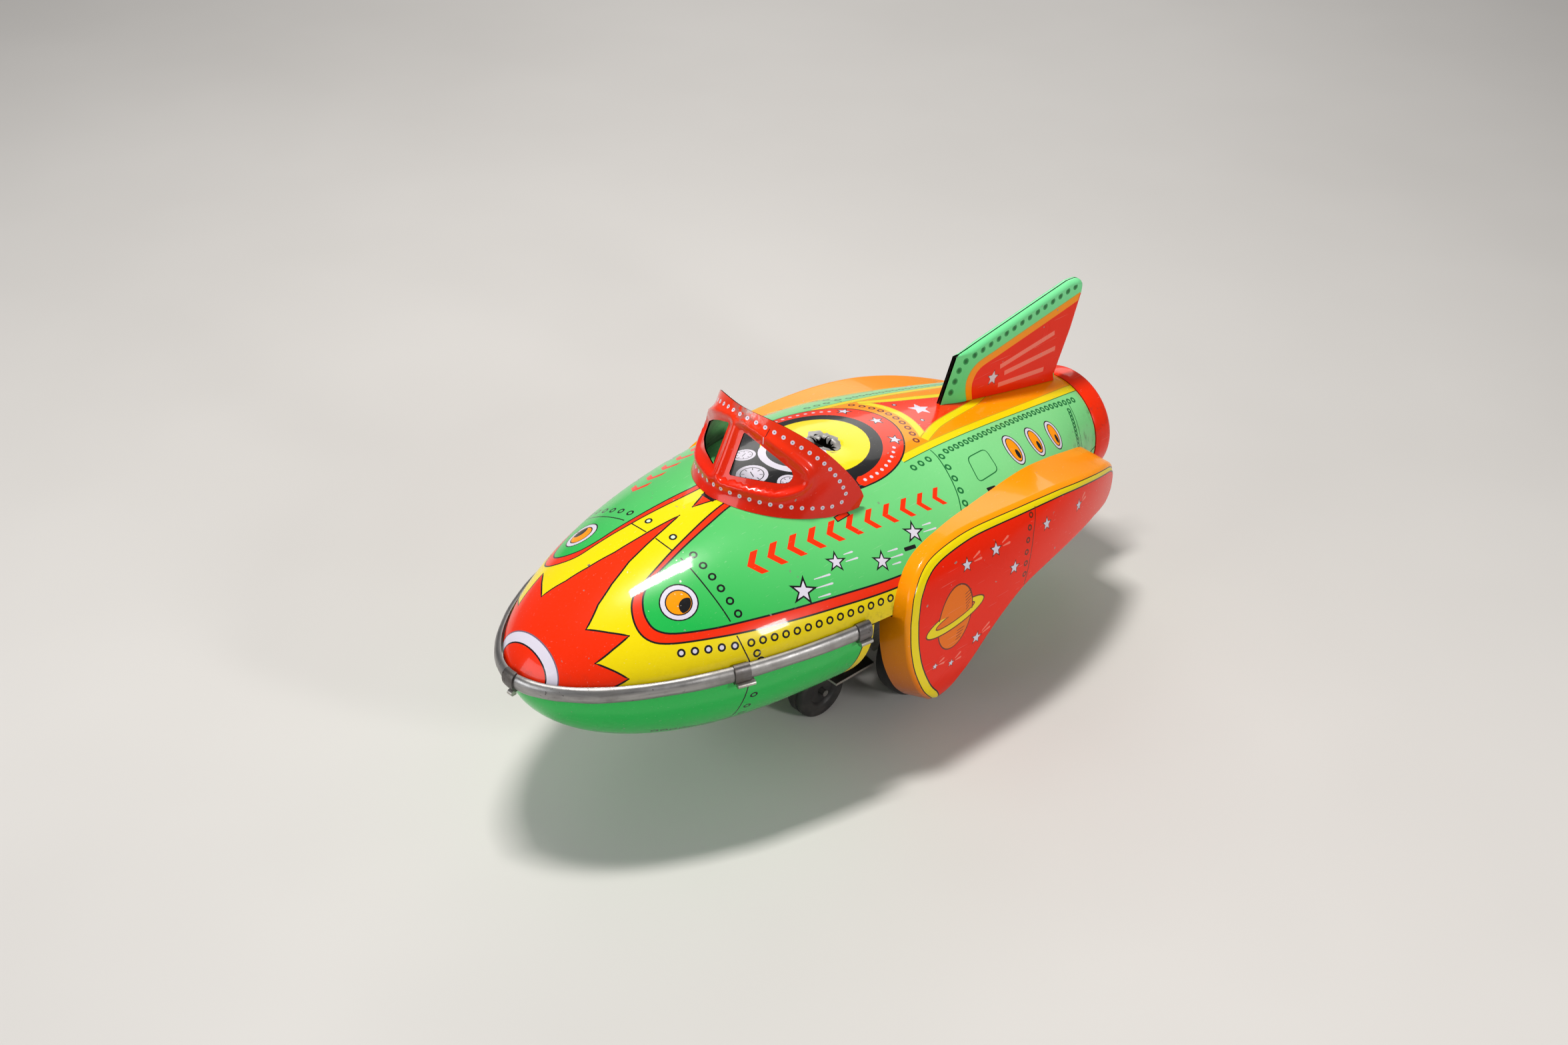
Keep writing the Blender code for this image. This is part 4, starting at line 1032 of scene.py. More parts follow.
BOWL_SEAMS = [
    ([(-64.0, 43.5), (-55.0, 43.0), (-46.0, 41.5), (-38.0, 39.0), (-30.0, 37.5), (-20.8, 35.5)], 22, {}),
    ([(-48.0, 0.0), (-48.4, 25.0), (-47.6, 48.0), (-46.6, 90.0)], 0, dict(ink="black", width=FINE)),
    ([(-46.3, 18.0), (-46.5, 28.0), (-46.0, 36.5)], 3, {}),
]
BELLY_SEAMS = [
    ([(32.0, 62.0), (55.0, 60.0), (78.0, 56.0)], 18, dict(edge="dark_green", radius=0.8)),
    ([(70.6, 8.0), (71.0, 30.0), (71.5, 50.0)], 8, dict(edge="dark_green", radius=0.74)),
    ([(72.3, 0.0), (73.0, 40.0), (73.4, 90.0)], 0, dict(ink="dark_green", width=0.28)),
]


def build_lower_shells():
    """The front bowl and the rear belly, each with a yellow edge towards the wheels."""
    for name, node, surface, edge, band, line, seams in (
            ("lower_bowl", "lower_hull", BOWL, BOWL.length, 2.3, 2.4, BOWL_SEAMS),
            ("rear_belly_shell", "rear_belly", BELLY, 0.0, -2.2, -2.3, BELLY_SEAMS)):
        art = shell_print(surface, "green")
        girth = surface.girth
        art.fill([(edge - band, 0), (edge, 0), (edge, girth), (edge - band, girth)], "yellow")
        art.line(straight([(edge - line, 0), (edge - line, girth)], 2.0), "black", FINE)
        for sign in (-1, 1):
            art.seams(seams, sign)
        finish_piece(wrap(name, art), "shell", [node], "green_litho")


# ---------------------------------------------------------------- windshield

SHIELD_A = 20.9
SHIELD_B = 25.0
SHIELD_Y = -8.5
SHIELD_POWER = 1.95
SHIELD_HEIGHT = 20.2
SHIELD_LEAN = math.radians(27.2)
SHIELD_BASE = 0.12
SHIELD_EXTRA = 0.55
SHIELD_END = 1.5
SHIELD_TIN = 0.4
# Outlines on the sheet, as (place across the toy, up the slope).
WINDOW = [(2.6, 16.1), (2.7, 6.1), (8.4, 7.1), (12.6, 7.5), (13.9, 7.9), (14.2, 9.4), (13.6, 10.9),
          (10.6, 13.0), (6.8, 14.8)]
WINDOW_RIDGE = [(-0.1, 17.0), (-0.2, 5.0), (1.2, 3.7), (7.5, 4.3), (13.3, 4.6), (15.8, 6.4), (16.4, 8.6),
                (15.4, 11.6), (12.2, 14.4), (7.0, 16.8), (1.8, 17.9)]
DOT_PATH = [(0.0, 19.1), (3.9, 19.0), (9.6, 17.9), (14.1, 15.9), (17.2, 13.1), (19.1, 9.4), (20.0, 6.1),
            (20.3, 4.0), (20.0, 2.6), (19.0, 2.45), (13.2, 2.6), (6.0, 2.65), (0.0, 2.65)]
DOT_SPACING = 2.32


class ShieldSurface(Surface):
    """The windshield's sheet: (along its base from the middle, up its slope)."""

    def __init__(self):
        angles = np.radians(np.linspace(-89.0, 89.0, 721))
        power = 2 / SHIELD_POWER
        self.xs = SHIELD_A * np.copysign(np.abs(np.sin(angles)) ** power, angles)
        self.ys = SHIELD_Y - SHIELD_B * np.cos(angles) ** power
        self.gone = distances(np.stack([self.xs, self.ys], 1))
        self.half = self.gone[-1] / 2
        self.gone -= self.half
        kernel = np.hanning(41)
        padded = np.pad(skin_z(self.xs, self.ys) + SHIELD_BASE, 20, mode="reflect", reflect_type="odd")
        self.zs = np.convolve(padded, kernel / kernel.sum(), "valid")
        self.ridges = []

    def along(self, x):
        """Distance along the base of a place across the toy."""
        return np.interp(x, self.xs, self.gone)

    def laid(self, points):
        """Flat points from (place across the toy, up the slope)."""
        points = np.array(points, float)
        return np.stack([self.along(points[:, 0]), points[:, 1]], 1)

    def sheet(self, flat):
        x, y, z = (np.interp(flat[:, 0], self.gone, line) for line in (self.xs, self.ys, self.zs))
        rise = flat[:, 1]
        return np.stack([x, y + rise * math.sin(SHIELD_LEAN), z + rise * math.cos(SHIELD_LEAN)], 1)

    def place(self, flat):
        step = 0.15
        along = self.sheet(flat + [step, 0]) - self.sheet(flat - [step, 0])
        across = self.sheet(flat + [0, step]) - self.sheet(flat - [0, step])
        return self.sheet(flat) + unit(np.cross(along, across)) * self.press(flat)[:, None]

    def press(self, flat):
        """How far the pressed frame round the windows stands out of the sheet."""
        total = np.zeros(len(flat))
        for ridge in self.ridges:
            away = distance_outside(flat, ridge)
            ledge = np.where(away < 0, 0.34, 0.0) * (1 - np.exp(-(away / 1.3) ** 2))
            total = np.maximum(total, 0.85 * np.exp(-away ** 2)) - ledge
        wave = 0.10 * np.sin(flat[:, 0] * 0.55 + 0.8) * np.sin(flat[:, 1] * 0.45)
        return np.clip(total, -0.6, 0.95) + wave


def distance_outside(points, outline):
    """Distance to a closed outline, negative inside it."""
    best = np.full(len(points), 1e9)
    for a, b in zip(outline, np.roll(outline, -1, axis=0)):
        run = b - a
        share = np.clip(((points - a) @ run) / run.dot(run), 0, 1)
        best = np.minimum(best, np.linalg.norm(points - a - share[:, None] * run, axis=1))
    return np.where(wound(points, outline), -best, best)


def shield_rise(x):
    crest = np.clip(1 - (np.abs(x) / SHIELD_A) ** 3.1, 0, 1) ** 0.44
    return SHIELD_END + (SHIELD_HEIGHT - SHIELD_END) * crest + SHIELD_EXTRA


def build_windshield():
    surface = ShieldSurface()
    window = surface.laid(rounded(WINDOW, 0.7, 5))
    ridge = surface.laid(rounded(WINDOW_RIDGE, 2.5, 5))
    surface.ridges = [ridge, ridge * [-1, 1]]
    half = surface.half
    xs = SHIELD_A * np.sin(np.linspace(1.553, -1.553, 61))
    top = surface.laid(np.stack([xs, shield_rise(xs)], 1))
    tabs = [(-half, 0.0)]
    for centre in surface.along([-19.7, 0.0, 19.7]):
        tabs += [(centre - 1.5, 0.0), (centre - 1.4, -0.5), (centre + 1.4, -0.5), (centre + 1.5, 0.0)]
    tabs.append((half, 0.0))
    art = Print(surface, np.vstack([straight(tabs, 1.0), straight(top, 1.0)]), "shield_red")
    art.fill(window, "cut")
    art.fill(window * [-1, 1], "cut")
    path = curve(surface.laid(DOT_PATH))
    dots = spaced(path, round(distances(path)[-1] / DOT_SPACING) + 1)
    for along, rise in np.vstack([dots, dots[1:-1] * [-1, 1]]):
        art.stamp((along, rise), circle(0.48, 12), "lilac")
        art.stamp((along, rise), circle(0.15, 6), "violet")
    art.line(surface.laid([(7.4, 15.0), (7.2, 16.6)]), "lilac", 0.16)
    art.line(surface.laid([(7.5, 16.8), (7.6, 18.6)]), "black", 0.14)
    made = wrap("windshield_sheet", art, 0.75, SHIELD_TIN, "inside", "worn_edge")
    finish_piece(made, "shell", ["windshield"], "red_litho")


# ---------------------------------------------------------------- pods and fin

ROLL_ANGLES = (22.0, 31.0, 50.0, 70.0, 90.0)
FLANGE_SHARES = (0.25, 0.5, 0.75, 1.0)


class PanelSurface(Surface):
    """A nearly flat pressed face across X: (along Y, up Z), on one side of the toy."""

    def __init__(self, face_x, side):
        self.face_x = face_x
        self.side = side
        self.outward = float(side)

    def place(self, flat):
        return np.stack([self.side * self.face_x(flat[:, 0], flat[:, 1]), flat[:, 0], flat[:, 1]], 1)


def pressed_panel(name, art, outline, radii, depths, step, tin, flange_ink, edge_ink, flare=0.0):
    """A printed face with a rolled edge and a flange turned back towards the middle plane.

    radii and depths are the roll's radius and the flange's end at each point of the outline;
    edge_ink(row, i) is the ink of a face of the roll.
    """
    surface = art.surface
    side = surface.side
    count = len(outline)
    outward = outline_normals(outline)
    around = np.column_stack([np.zeros(count), outward])
    inset = outline - outward * radii[:, None]
    flat, faces, inks = art.mesh(step)
    if side < 0:
        faces = [face[::-1] for face in faces]
    points = [surface.place(flat)]
    normals = [surface.normals(flat)]
    rows = [[int(np.argmin(np.linalg.norm(flat - p, axis=1))) for p in inset]]
    face_x = surface.place(outline)[:, 0]
    for degrees in ROLL_ANGLES:
        c, s = math.cos(math.radians(degrees)), math.sin(math.radians(degrees))
        spots = inset + outward * (radii * s)[:, None]
        points.append(np.column_stack([face_x - side * radii * (1 - c), spots]))
        normals.append(unit(surface.normals(outline) * c + around * s))
    start = face_x - side * radii
    for share in FLANGE_SHARES:
        spots = outline + outward * (np.ones(count) * flare * share)[:, None]
        points.append(np.column_stack([start + (side * depths - start) * share, spots]))
        normals.append(around)
    for k in range(len(ROLL_ANGLES) + len(FLANGE_SHARES)):
        rows.append([len(flat) + k * count + i for i in range(count)])
    points = np.vstack(points)
    forward = (doubled_area(outline) > 0) == (side > 0)
    for k, (row, below) in enumerate(zip(rows, rows[1:])):
        for i in range(count):
            j = (i + 1) % count
            quad = [row[i], row[j], below[j], below[i]]
            a, b, c, d = points[quad]
            if np.linalg.norm(np.cross(c - a, d - b)) < 1e-5:
                continue
            faces.append(quad[::-1] if forward else quad)
            inks.append(edge_ink(k, i) if k < len(ROLL_ANGLES) else flange_ink)
    return thin_sheet(name, points, np.vstack(normals), merged(points, faces), inks, tin)


def merged(points, faces):
    """The faces with points that lie together made one."""
    keys = {}
    first = [keys.setdefault(tuple(np.round(p, 3)), i) for i, p in enumerate(points)]
    return [list(dict.fromkeys(first[v] for v in face)) for face in faces]


POD_X = 40.0
POD_LEAN = 3.7
POD_OUTLINE = [(-11.2, 39.4), (-10.6, 42.5), (-9.2, 45.3), (-6.0, 48.4), (-0.8, 50.4), (9.0, 51.4),
               (19.4, 51.2), (30.2, 50.3), (38.5, 49.2), (45.9, 47.8), (56.5, 45.0), (66.9, 41.5),
               (72.3, 39.2), (75.2, 36.6), (75.8, 33.2), (74.6, 30.1), (71.4, 28.7), (66.0, 29.4),
               (60.1, 30.4), (46.2, 31.4), (36.0, 31.1), (28.0, 29.7), (21.4, 26.2), (15.4, 21.2),
               (9.5, 14.4), (5.8, 9.8), (2.2, 8.2), (-0.9, 10.8), (-5.5, 16.3), (-9.1, 23.6),
               (-10.9, 30.8), (-11.4, 36.8)]
POD_RADIUS = 1.5
POD_DEPTH = 7.0
POD_BAND_START = (4.6, 8.9)
POD_BAND_END = (75.4, 36.2)
# Stars on a pod: place, radius, and tails as (degrees, how far behind, length).
POD_STARS = [((7.6, 45.0), 1.5, [(18, 2.3, 2.3), (-2, 2.3, 2.3)]),
             ((17.0, 44.9), 1.6, [(18, 2.3, 2.3), (-2, 2.3, 2.3)]),
             ((22.9, 37.8), 1.6, []),
             ((11.4, 23.8), 1.5, [(30, 2.0, 2.6), (12, 2.0, 2.4)]),
             ((35.4, 43.2), 1.5, []),
             ((50.2, 40.6), 1.4, [(24, 2.0, 1.8), (4, 2.0, 1.8)]),
             ((-2.0, 22.4), 0.85, [(20, 1.4, 1.5), (-8, 1.4, 1.5)]),
             ((3.4, 20.6), 0.95, [(30, 1.4, 1.9), (2, 1.4, 1.7)])]
POD_SEAM = [(32.5, 48.9), (31.7, 46.9), (30.0, 43.1), (28.7, 37.8), (27.9, 33.7), (26.8, 30.0)]
POD_RIVETS = [(30.3, 47.5), (29.0, 45.2), (28.0, 42.8), (27.3, 40.2), (27.1, 37.3), (26.9, 34.0)]


def pod_face_x(y, z):
    return POD_X - 0.0042 * np.clip(y - 18.0, 0, None) ** 2 - POD_LEAN * ((z - 29.0) / 21.0) ** 4


def pod_flare(outline):
    """How far the flange leans out of the face's outline: most at the front and underneath."""
    normals = outline_normals(outline)
    ahead = np.clip(-normals[:, 0], 0, 1)
    over = np.clip(normals[:, 1], 0, 1)
    under = np.clip(-normals[:, 1], 0, 1)
    return 0.3 * over + 1.2 * under + 1.9 * ahead ** 2


def pod_depths(outline):
    """Where the flange ends: on the hull's skin, or at its own depth where there is none."""
    reach = pod_face_x(outline[:, 0], outline[:, 1]) - POD_DEPTH
    end = outline + outline_normals(outline) * pod_flare(outline)[:, None]
    skin = skin_x(end[:, 0], end[:, 1]) + 0.05
    free = (end[:, 1] < SEAM_Z - 0.4) & (end[:, 0] < BELLY_START_Y - 1.0)
    return np.where(free | (skin < 1.0), reach, skin)


def turned_at(points, centre, angle):
    """Flat points turned about their own origin and moved to a centre."""
    c, s = math.cos(angle), math.sin(angle)
    return np.array(points) @ np.array([[c, s], [-s, c]]) + centre


def draw_saturn(art, centre):
    """A ringed planet, tilted, with hatching on its shaded side."""
    def at(points, angle=-0.12):
        return turned_at(points, centre, angle)

    tilt = math.radians(7.0)
    art.edged(at(ellipse(5.4, 8.3, 44)), "deep_orange", 0.32, "brown")
    art.edged(at(ellipse(9.3, 2.75, 52), tilt), "lemon", 0.36, "brown")
    art.edged(at(ellipse(6.2, 1.25, 40) + np.array([0.0, 0.35]), tilt), "deep_orange", 0.30, "brown")
    back = [(5.35 * math.cos(a), 8.2 * math.sin(a)) for a in np.radians(np.linspace(4, 176, 30))]
    art.fill(at(back + [(-5.2, 0.9), (5.2, 0.9)]), "deep_orange")
    art.line(at(back), "brown", 0.32)
    for i in range(6):
        z = 6.0 - 0.85 * i
        art.line(at([(2.3 + 0.2 * i, z - 0.9), (4.4 - 0.1 * abs(i - 2), z)]), "brown", 0.2)
    for i in range(4):
        z = -3.6 - 0.8 * i
        art.line(at([(1.4, z - 0.5), (3.7 - 0.3 * i, z)]), "brown", 0.2)


def draw_pod(art, inset, start, end):
    """The yellow band along the pod's edge from start round to end, Saturn, stars and a seam."""
    picks = np.arange(start, end + len(inset) + 1) % len(inset)
    path = inset[picks]
    inward = -outline_normals(inset)[picks]
    run = np.arange(len(path))
    taper = np.clip(np.minimum(run, run[::-1]) / 8.0, 0.12, 1.0)
    wide = taper * (0.25 + 1.35 * np.clip(inward[:, 0], 0, 1))
    art.fill(np.vstack([path, (path + inward * wide[:, None])[::-1]]), "lemon")
    art.line(path + inward * (wide + 0.05)[:, None], "black", 0.33)
    draw_saturn(art, (3.6, 33.4))
    for place, size, tails in POD_STARS:
        art.stamp(place, star(size * 1.32), "brown", -0.2)
        art.stamp(place, star(size * 0.95, 0.46), "lilac", -0.2)
        for angle, behind, length in tails:
            art.stamp(place, streak(length, 0.32) + [behind, 0.0], "pink", math.radians(angle))
    art.line(curve(POD_SEAM), "brown", 0.28)
    art.rivets(curve(POD_RIVETS), 6, ink="pod_red", radius=0.78, ring=0.42, edge="brown")


def build_pods():
    outline = curve(POD_OUTLINE, True, 1.1)
    radii = np.full(len(outline), POD_RADIUS)
    inset = outline - outline_normals(outline) * POD_RADIUS
    start, end = (int(np.argmin(np.linalg.norm(outline - place, axis=1)))
                  for place in (POD_BAND_START, POD_BAND_END))

    def edge_ink(row, i):
        if end < i < start:
            return "pod_red" if row < 3 else "orange"
        return ("lemon", "black", "orange")[min(row, 2)]

    for side, name in ((1, "left"), (-1, "right")):
        art = Print(PanelSurface(pod_face_x, side), inset, "pod_red")
        draw_pod(art, inset, start, end)
        made = pressed_panel("pod_shell_" + name, art, outline, radii, pod_depths(outline), 2.0, 0.45,
                             "orange", edge_ink, pod_flare(outline))
        finish_piece(made, "shell", ["pod_" + name], "orange_litho")


FIN_OUTLINE = [(38.0, 57.6), (42.6, 68.3), (50.0, 69.7), (60.0, 71.5), (72.0, 73.7), (82.0, 75.5),
               (85.6, 75.2), (87.4, 73.6), (87.3, 71.0), (84.4, 62.0), (79.2, 49.6)]
FIN_HALF = 1.5
FIN_FRONT_HALF = 0.62
FIN_RADIUS = 1.25
FIN_RED = [(49.6, 48.0), (48.6, 54.0), (47.9, 57.9), (48.2, 60.6), (50.6, 63.1), (57.5, 64.4), (66.5, 66.0),
           (76.6, 67.8), (90.0, 70.3)]
FIN_ORANGE = [(47.2, 48.0), (46.6, 54.5), (45.7, 59.2), (46.3, 62.2), (49.2, 64.8), (56.3, 66.2),
              (66.2, 68.0), (76.3, 69.8), (90.0, 72.2)]
FIN_BEHIND = [(92.0, 60.0), (88.0, 44.0)]
FIN_DOTS = [(41.2, 59.6), (42.8, 63.0), (44.4, 65.8), (47.5, 67.2), (52.0, 68.1), (60.0, 69.6),
            (70.0, 71.4), (80.0, 73.2), (84.0, 73.7)]
FIN_STREAKS = [[(57.8, 60.8), (77.6, 63.2)], [(59.6, 58.4), (78.4, 58.6)], [(57.6, 55.8), (74.6, 54.0)]]


def fin_face_x(y, z):
    """Half thickness of the fin: pinched thin along its front edge."""
    front = 38.0 + (np.asarray(z) - 57.6) * 0.43
    return FIN_FRONT_HALF + (FIN_HALF - FIN_FRONT_HALF) * smooth_step((np.asarray(y) - front) / 7.0)


def fin_border():
    """Outline of a fin half, and how far each point's edge is rolled (0 open, 1 rolled)."""
    front, rear = FIN_OUTLINE[0], FIN_OUTLINE[-1]
    ys = np.linspace(rear[0], front[0], 27)[:-1]
    base = np.stack([ys, skin_z(np.full(len(ys), 1.5), ys) + 0.1], 1)
    lead = straight([(front[0], base[-1, 1] + 0.2), FIN_OUTLINE[1]], 1.6)[:-1]
    upper = straight(FIN_OUTLINE[1:6], 1.6)[:-1]
    tip = curve(FIN_OUTLINE[5:9], False, 0.6)[:-1]
    back = straight(FIN_OUTLINE[8:], 1.6)[:-1]
    outline = np.vstack([lead, upper, tip, back, base])
    rolled = np.zeros(len(outline))
    rim = np.arange(1, len(upper) + len(tip) + len(back))
    rolled[len(lead) + rim] = np.clip(rim, 0, 3) / 3.0
    return outline, rolled


def build_fin():
    """Two pressed halves: mint edge with dots, an orange line, a red field with pale streaks."""
    outline, rolled = fin_border()
    radii = FIN_RADIUS * rolled
    inset = outline - outline_normals(outline) * radii[:, None]
    depths = np.where(rolled > 0, 0.16, fin_face_x(outline[:, 0], outline[:, 1]))

    def edge_ink(row, i):
        return "mint" if outline[i, 1] > 71.2 or outline[i, 0] < 80 else "pod_red"

    for side, name in ((1, "left"), (-1, "right")):
        art = Print(PanelSurface(fin_face_x, side), inset, "mint")
        art.fill(np.vstack([curve(FIN_ORANGE), FIN_BEHIND]), "orange")
        art.line(curve(FIN_ORANGE), "ochre", 0.25)
        art.fill(np.vstack([curve(FIN_RED), FIN_BEHIND]), "pod_red")
        for place in spaced(curve(FIN_DOTS, False, 0.8), 18):
            art.stamp(place, circle(0.85, 12), "leaf")
            art.stamp(place, circle(0.52, 10), "dark_green")
        art.stamp((55.4, 58.6), star(2.3), "brown", -0.25)
        art.stamp((55.4, 58.6), star(1.85, 0.48), "lilac", -0.25)
        for ends in FIN_STREAKS:
            art.line(straight(ends, 3.0), "pink", 1.25)
        made = pressed_panel("fin_half_" + name, art, outline, radii, depths, 2.2, 0.35, "mint", edge_ink)
        finish_piece(made, "shell", ["fin_" + name], "red_litho")


# ---------------------------------------------------------------- trim, clips, tail ring

TRIM_END_Y = -20.0
CLIP_HALF = 1.65
WOBBLE_PHASES = np.random.default_rng(4).uniform(0, 6.28, 3)


def seam_point(share):
    y = NOSE_Y + (TRIM_END_Y - NOSE_Y) * share * share
    return np.array([math.copysign(float(half_width(np.array(y))), share) if share else 0.0, y, SEAM_Z])


def seam_share(y):
    return math.sqrt((y - NOSE_Y) / (TRIM_END_Y - NOSE_Y))


def sweep(name, profile, shares, ink, body_slot, nodes, wobble=0.0):
    """Sweep a closed (outwards, up) profile along the seam."""
    rows = []
    for share in shares:
        ahead = seam_point(min(share + 0.004, 1.0)) - seam_point(max(share - 0.004, -1.0))
        normal = unit(np.array([ahead[1], -ahead[0], 0.0]))
        slow = math.sin(share * 21 + WOBBLE_PHASES[0])
        quick = math.sin(share * 47 + WOBBLE_PHASES[1])
        shift = wobble * (slow + 0.6 * quick)
        rows.append([seam_point(share) + normal * (out + 0.5 * shift * (out > 1.0))
                     + [0.0, 0.0, up * (1 + 0.25 * shift)] for out, up in profile])
    made = lofted(name, rows, [ink] * len(profile), False, 40)
    finish_piece(made, "shell", nodes, body_slot)


def bead(outer, tall, depth, inner=0.25, steps=12):
    """A half-round bead profile with a flat back."""
    points = []
    for i in range(steps + 1):
        angle = -math.pi / 2 + math.pi * i / steps
        points.append((depth + (outer - depth) * math.cos(angle), tall * math.sin(angle)))
    return [(inner, -tall)] + points + [(inner, tall)]


def build_trim():
    """The half-round seam trim, its five clips and the clips' folded ends."""
    shares = [math.copysign((abs(i) / 60) ** 1.15, i) if i else 0.0 for i in range(-60, 61)]
    sweep("seam_bead", bead(1.78, 1.85, 0.45), shares, "trim_steel", "bare_tin", ["seam_trim"], 0.08)
    strap = bead(2.22, 2.3, 0.8, 0.4, 10)
    fold = [(out, up - 2.3) for out, up in bead(2.5, 0.62, 1.7, 1.0, 10)]
    shares = [0.04 * (i / 6 - 1) for i in range(13)]
    sweep("nose_clip", strap, shares, "clip_steel", "dark_steel", ["trim_clip_nose"])
    sweep("nose_clip_fold", fold, [0.03 * i / 6 + 0.01 for i in range(7)], "tin", "dark_steel", [])
    for where, y in (("mid", -50.4), ("rear", -21.7)):
        low = seam_share(y - CLIP_HALF)
        length = min(seam_share(y + CLIP_HALF), 1.0) - low
        reach = min(low + 1.25 * length, 1.0) - low
        for side, sign in (("left", 1), ("right", -1)):
            node = "trim_clip_%s_%s" % (where, side)
            shares = [sign * (low + length * i / 8) for i in range(9)][::sign]
            sweep(node + "_strap", strap, shares, "clip_steel", "dark_steel", [node])
            shares = [sign * (low + reach * (0.1 + 0.15 * i)) for i in range(7)][::sign]
            sweep(node + "_fold", fold, shares, "tin", "dark_steel", [])


def turned(name, profile, axis, sides, inks, body, nodes, slot, centre):
    """Turn a closed profile of (radius, place along the axis) about X (0) or Y (1)."""
    profile = np.array(profile)
    rows = []
    for i in range(sides):
        angle = 2 * math.pi * i / sides
        aside = centre[0] + profile[:, 0] * math.cos(angle)
        up = centre[1] + profile[:, 0] * math.sin(angle)
        rows.append(np.column_stack([profile[:, 1], aside, up] if axis == 0 else [aside, profile[:, 1], up]))
    made = lofted(name, rows, inks, True, 38)
    finish_piece(made, body, nodes, slot)


def arc(centre_r, centre_at, radius, start, end, steps=6):
    """Part of a circle in a turned profile, in degrees."""
    angles = [math.radians(start + (end - start) * i / steps) for i in range(steps + 1)]
    return [(centre_r + radius * math.cos(a), centre_at + radius * math.sin(a)) for a in angles]


def build_tail_ring():
    low, high = box_mm("tail_ring")
    middle = (low + high) / 2
    rim, face = high[0], high[1]
    roll = 1.9
    profile = [(13.3, TAIL_Y + 0.3), (14.35, TAIL_Y + 0.3), (rim - 0.05, 83.6), (rim, 84.6), (rim, 86.0)]
    profile += arc(rim - roll, face - roll, roll, 0, 90, 9)[1:]
    profile += arc(rim - roll - 0.3, face - 1.4, 1.4, 90, 180, 7)
    disc = [(10.9, 85.3), (10.4, 84.95), (8.4, 84.95), (8.1, 85.25), (7.6, 85.25), (7.3, 84.95),
            (2.3, 84.95), (2.0, 84.7), (2.0, 84.35), (10.6, 84.35), (12.4, 84.1)]
    red = 19
    inks = ["red"] * red + ["ring_inside"] * (len(profile + disc) - red)
    turned("tail_ring_shell", profile + disc, 1, 72, inks, "shell", ["tail_ring"], "red_litho",
           (middle[0], middle[2]))


# ---------------------------------------------------------------- wheels and motor

def tyre_side(half, radius):
    """Half of a tyre's section: rounded shoulders and a shallow groove on the side wall."""
    side = [(radius * 0.62, half - 0.7), (radius * 0.62 + 0.35, half - 0.25), (radius - 2.6, half - 0.12),
            (radius - 2.45, half - 0.3), (radius - 2.0, half - 0.3), (radius - 1.85, half - 0.1)]
    return side + arc(radius - 1.25, half - 1.25, 1.25, 80, 10, 6) + [(radius, half - 1.5)]


def hub_side(half, rim):
    """Half of a hub disc's section: a boss, a dish and a raised rim."""
    return [(1.05, half), (2.1, half), (2.4, half - 0.3), (2.5, 0.9), (3.3, 0.45), (rim - 1.6, 0.45),
            (rim - 1.1, 0.9), (rim - 0.3, 1.0), (rim, 0.8)]


def front_side(half, radius):
    """Half of a small solid wheel's section, with a groove round that side of its tread."""
    side = [(0.85, half - 0.8), (3.3, half - 0.8), (3.7, half - 0.2), (4.1, half), (radius - 1.2, half)]
    tread = [(radius, half - 1.2), (radius - 0.25, half - 1.6), (radius - 0.25, half - 2.0),
             (radius, half - 2.2)]
    return side + arc(radius - 0.9, half - 0.9, 0.9, 80, 10, 5) + tread


# Wheel parts: node, kind, node whose middle it turns about, section, sides, ink, body, slot.
WHEEL_PARTS = [
    ("drive_tyre", "rubber", "drive_tyre", tyre_side, 64, "rubber", "drive_wheels", "black_rubber"),
    ("drive_hub", "disc", "drive_tyre", hub_side, 48, "tin", "drive_wheels", "bare_tin"),
    ("front_wheel", "rubber", "front_wheel", front_side, 48, "rubber", "front_wheels", "black_rubber"),
]
NODE_FINISH = {
    "brass": ["counter_gear", "counter_pinion", "drive_gear", "flywheel_pinion"],
    "shaft_steel": ["counter_shaft", "flywheel_shaft", "front_axle", "rear_axle", "frame_pillar_front",
                    "frame_pillar_low", "frame_pillar_top"],
    "lead": ["flywheel"],
    "tin": ["motor_plate_left", "motor_plate_right", "frame_strap_front", "frame_strap_rear",
            "front_bracket", "front_bracket_ear_left", "front_bracket_ear_right"],
}


def build_wheels():
    for side in ("left", "right"):
        for node, kind, middle_of, section, sides, ink, body, slot in WHEEL_PARTS:
            low, high = box_mm(node + "_" + side)
            x, y, z = sum(box_mm(middle_of + "_" + side)) / 2
            half = section((high[0] - low[0]) / 2, (high[2] - low[2]) / 2)
            profile = [(r, x - out) for r, out in half] + [(r, x + out) for r, out in reversed(half)]
            name = "%s_%s_%s" % (node, kind, side)
            turned(name, profile, 0, sides, [ink] * len(profile), body, [node + "_" + side], slot, (y, z))


def dress_nodes():
    """Materials for the motor's own solids, which show as they are."""
    for ink, names in NODE_FINISH.items():
        for name in names:
            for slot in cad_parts[name].material_slots:
                slot.material = MATERIALS[ink]


# ---------------------------------------------------------------- stage

CAMERA_AT = (258.5, -251.8, 281.5)
CAMERA_TURN = (47.1, 33.8, 0.86)
LENS = 43.01
FLOOR_SIZE = 2600.0


def add_object(name, data):
    made = bpy.data.objects.new(name, data)
    bpy.context.scene.collection.objects.link(made)
    return made


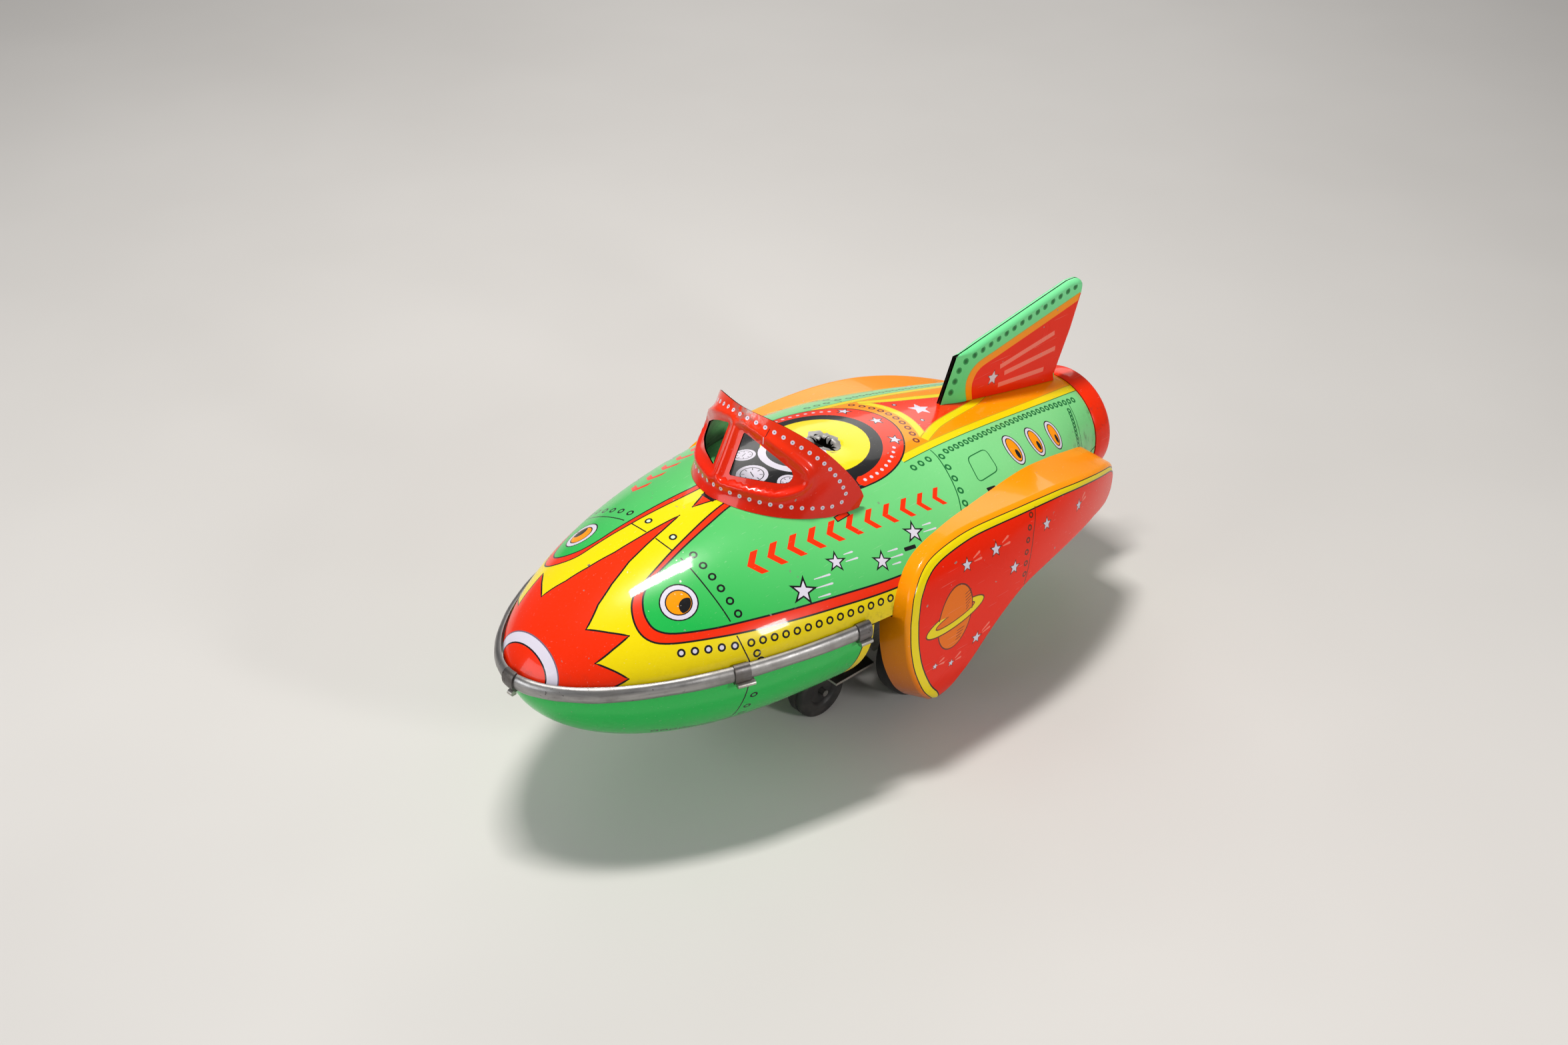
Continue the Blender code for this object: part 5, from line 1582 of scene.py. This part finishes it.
def build_camera():
    azimuth, elevation, roll = (math.radians(a) for a in CAMERA_TURN)
    level = math.cos(elevation)
    back = Vector((math.sin(azimuth) * level, -math.cos(azimuth) * level, math.sin(elevation)))
    right = Vector((math.cos(azimuth), math.sin(azimuth), 0.0))
    up = back.cross(right)
    turn = Matrix((right * math.cos(roll) + up * math.sin(roll),
                   up * math.cos(roll) - right * math.sin(roll), back)).transposed()
    data = bpy.data.cameras.new("photo_camera")
    data.lens = LENS
    data.sensor_width = 36.0
    data.clip_start = 0.01
    camera = add_object("photo_camera", data)
    camera.matrix_world = Matrix.Translation(Vector(CAMERA_AT) * MM) @ turn.to_4x4()
    bpy.context.scene.camera = camera


def build_floor():
    n = Nodes("floor")
    mottle = n.ramp(n.noise(6.0, 3.0), 0.3, 0.7)
    n.set("Base Color", n.mix(mottle, (0.60, 0.585, 0.565), (0.64, 0.625, 0.605)))
    n.set("Roughness", 0.7)
    points = [(x, y, 0.0) for x, y in oblong(FLOOR_SIZE, FLOOR_SIZE)]
    new_mesh("floor", points, [[0, 1, 2, 3]], ["floor"], smooth=False)


def soft_light(name, place, target, size, power, colour):
    data = bpy.data.lights.new(name, "AREA")
    data.shape = "RECTANGLE"
    data.size, data.size_y = (s * MM for s in size)
    data.energy = power
    data.color = colour
    made = add_object(name, data)
    made.location = Vector(place) * MM
    made.rotation_euler = (Vector(target) - Vector(place)).to_track_quat("-Z", "Y").to_euler()


def build_lights():
    soft_light("overhead", (-93, -19, 643), (10, -50, 55), (150, 70), 3.3, (1.0, 0.97, 0.93))
    soft_light("side", (539, 26, 257), (30, -40, 45), (60, 110), 1.1, (1.0, 0.98, 0.96))
    soft_light("front_fill", (-150, -700, 300), (0, 0, 40), (500, 300), 1.8, (0.96, 0.98, 1.0))
    soft_light("rear_fill", (-500, 500, 420), (0, 0, 40), (500, 400), 1.3, (1.0, 0.98, 0.95))
    world = bpy.data.worlds.new("studio")
    world.use_nodes = True
    background = world.node_tree.nodes["Background"]
    background.inputs["Color"].default_value = (0.80, 0.80, 0.82, 1.0)
    background.inputs["Strength"].default_value = 0.22
    bpy.context.scene.world = world
    bpy.context.scene.view_settings.view_transform = "Standard"
    bpy.context.scene.view_settings.look = "None"


make_materials()
build_camera()
build_floor()
build_lights()
build_upper_hull()
build_torn_flaps()
build_lower_shells()
build_windshield()
build_pods()
build_fin()
build_trim()
build_tail_ring()
build_wheels()
dress_nodes()
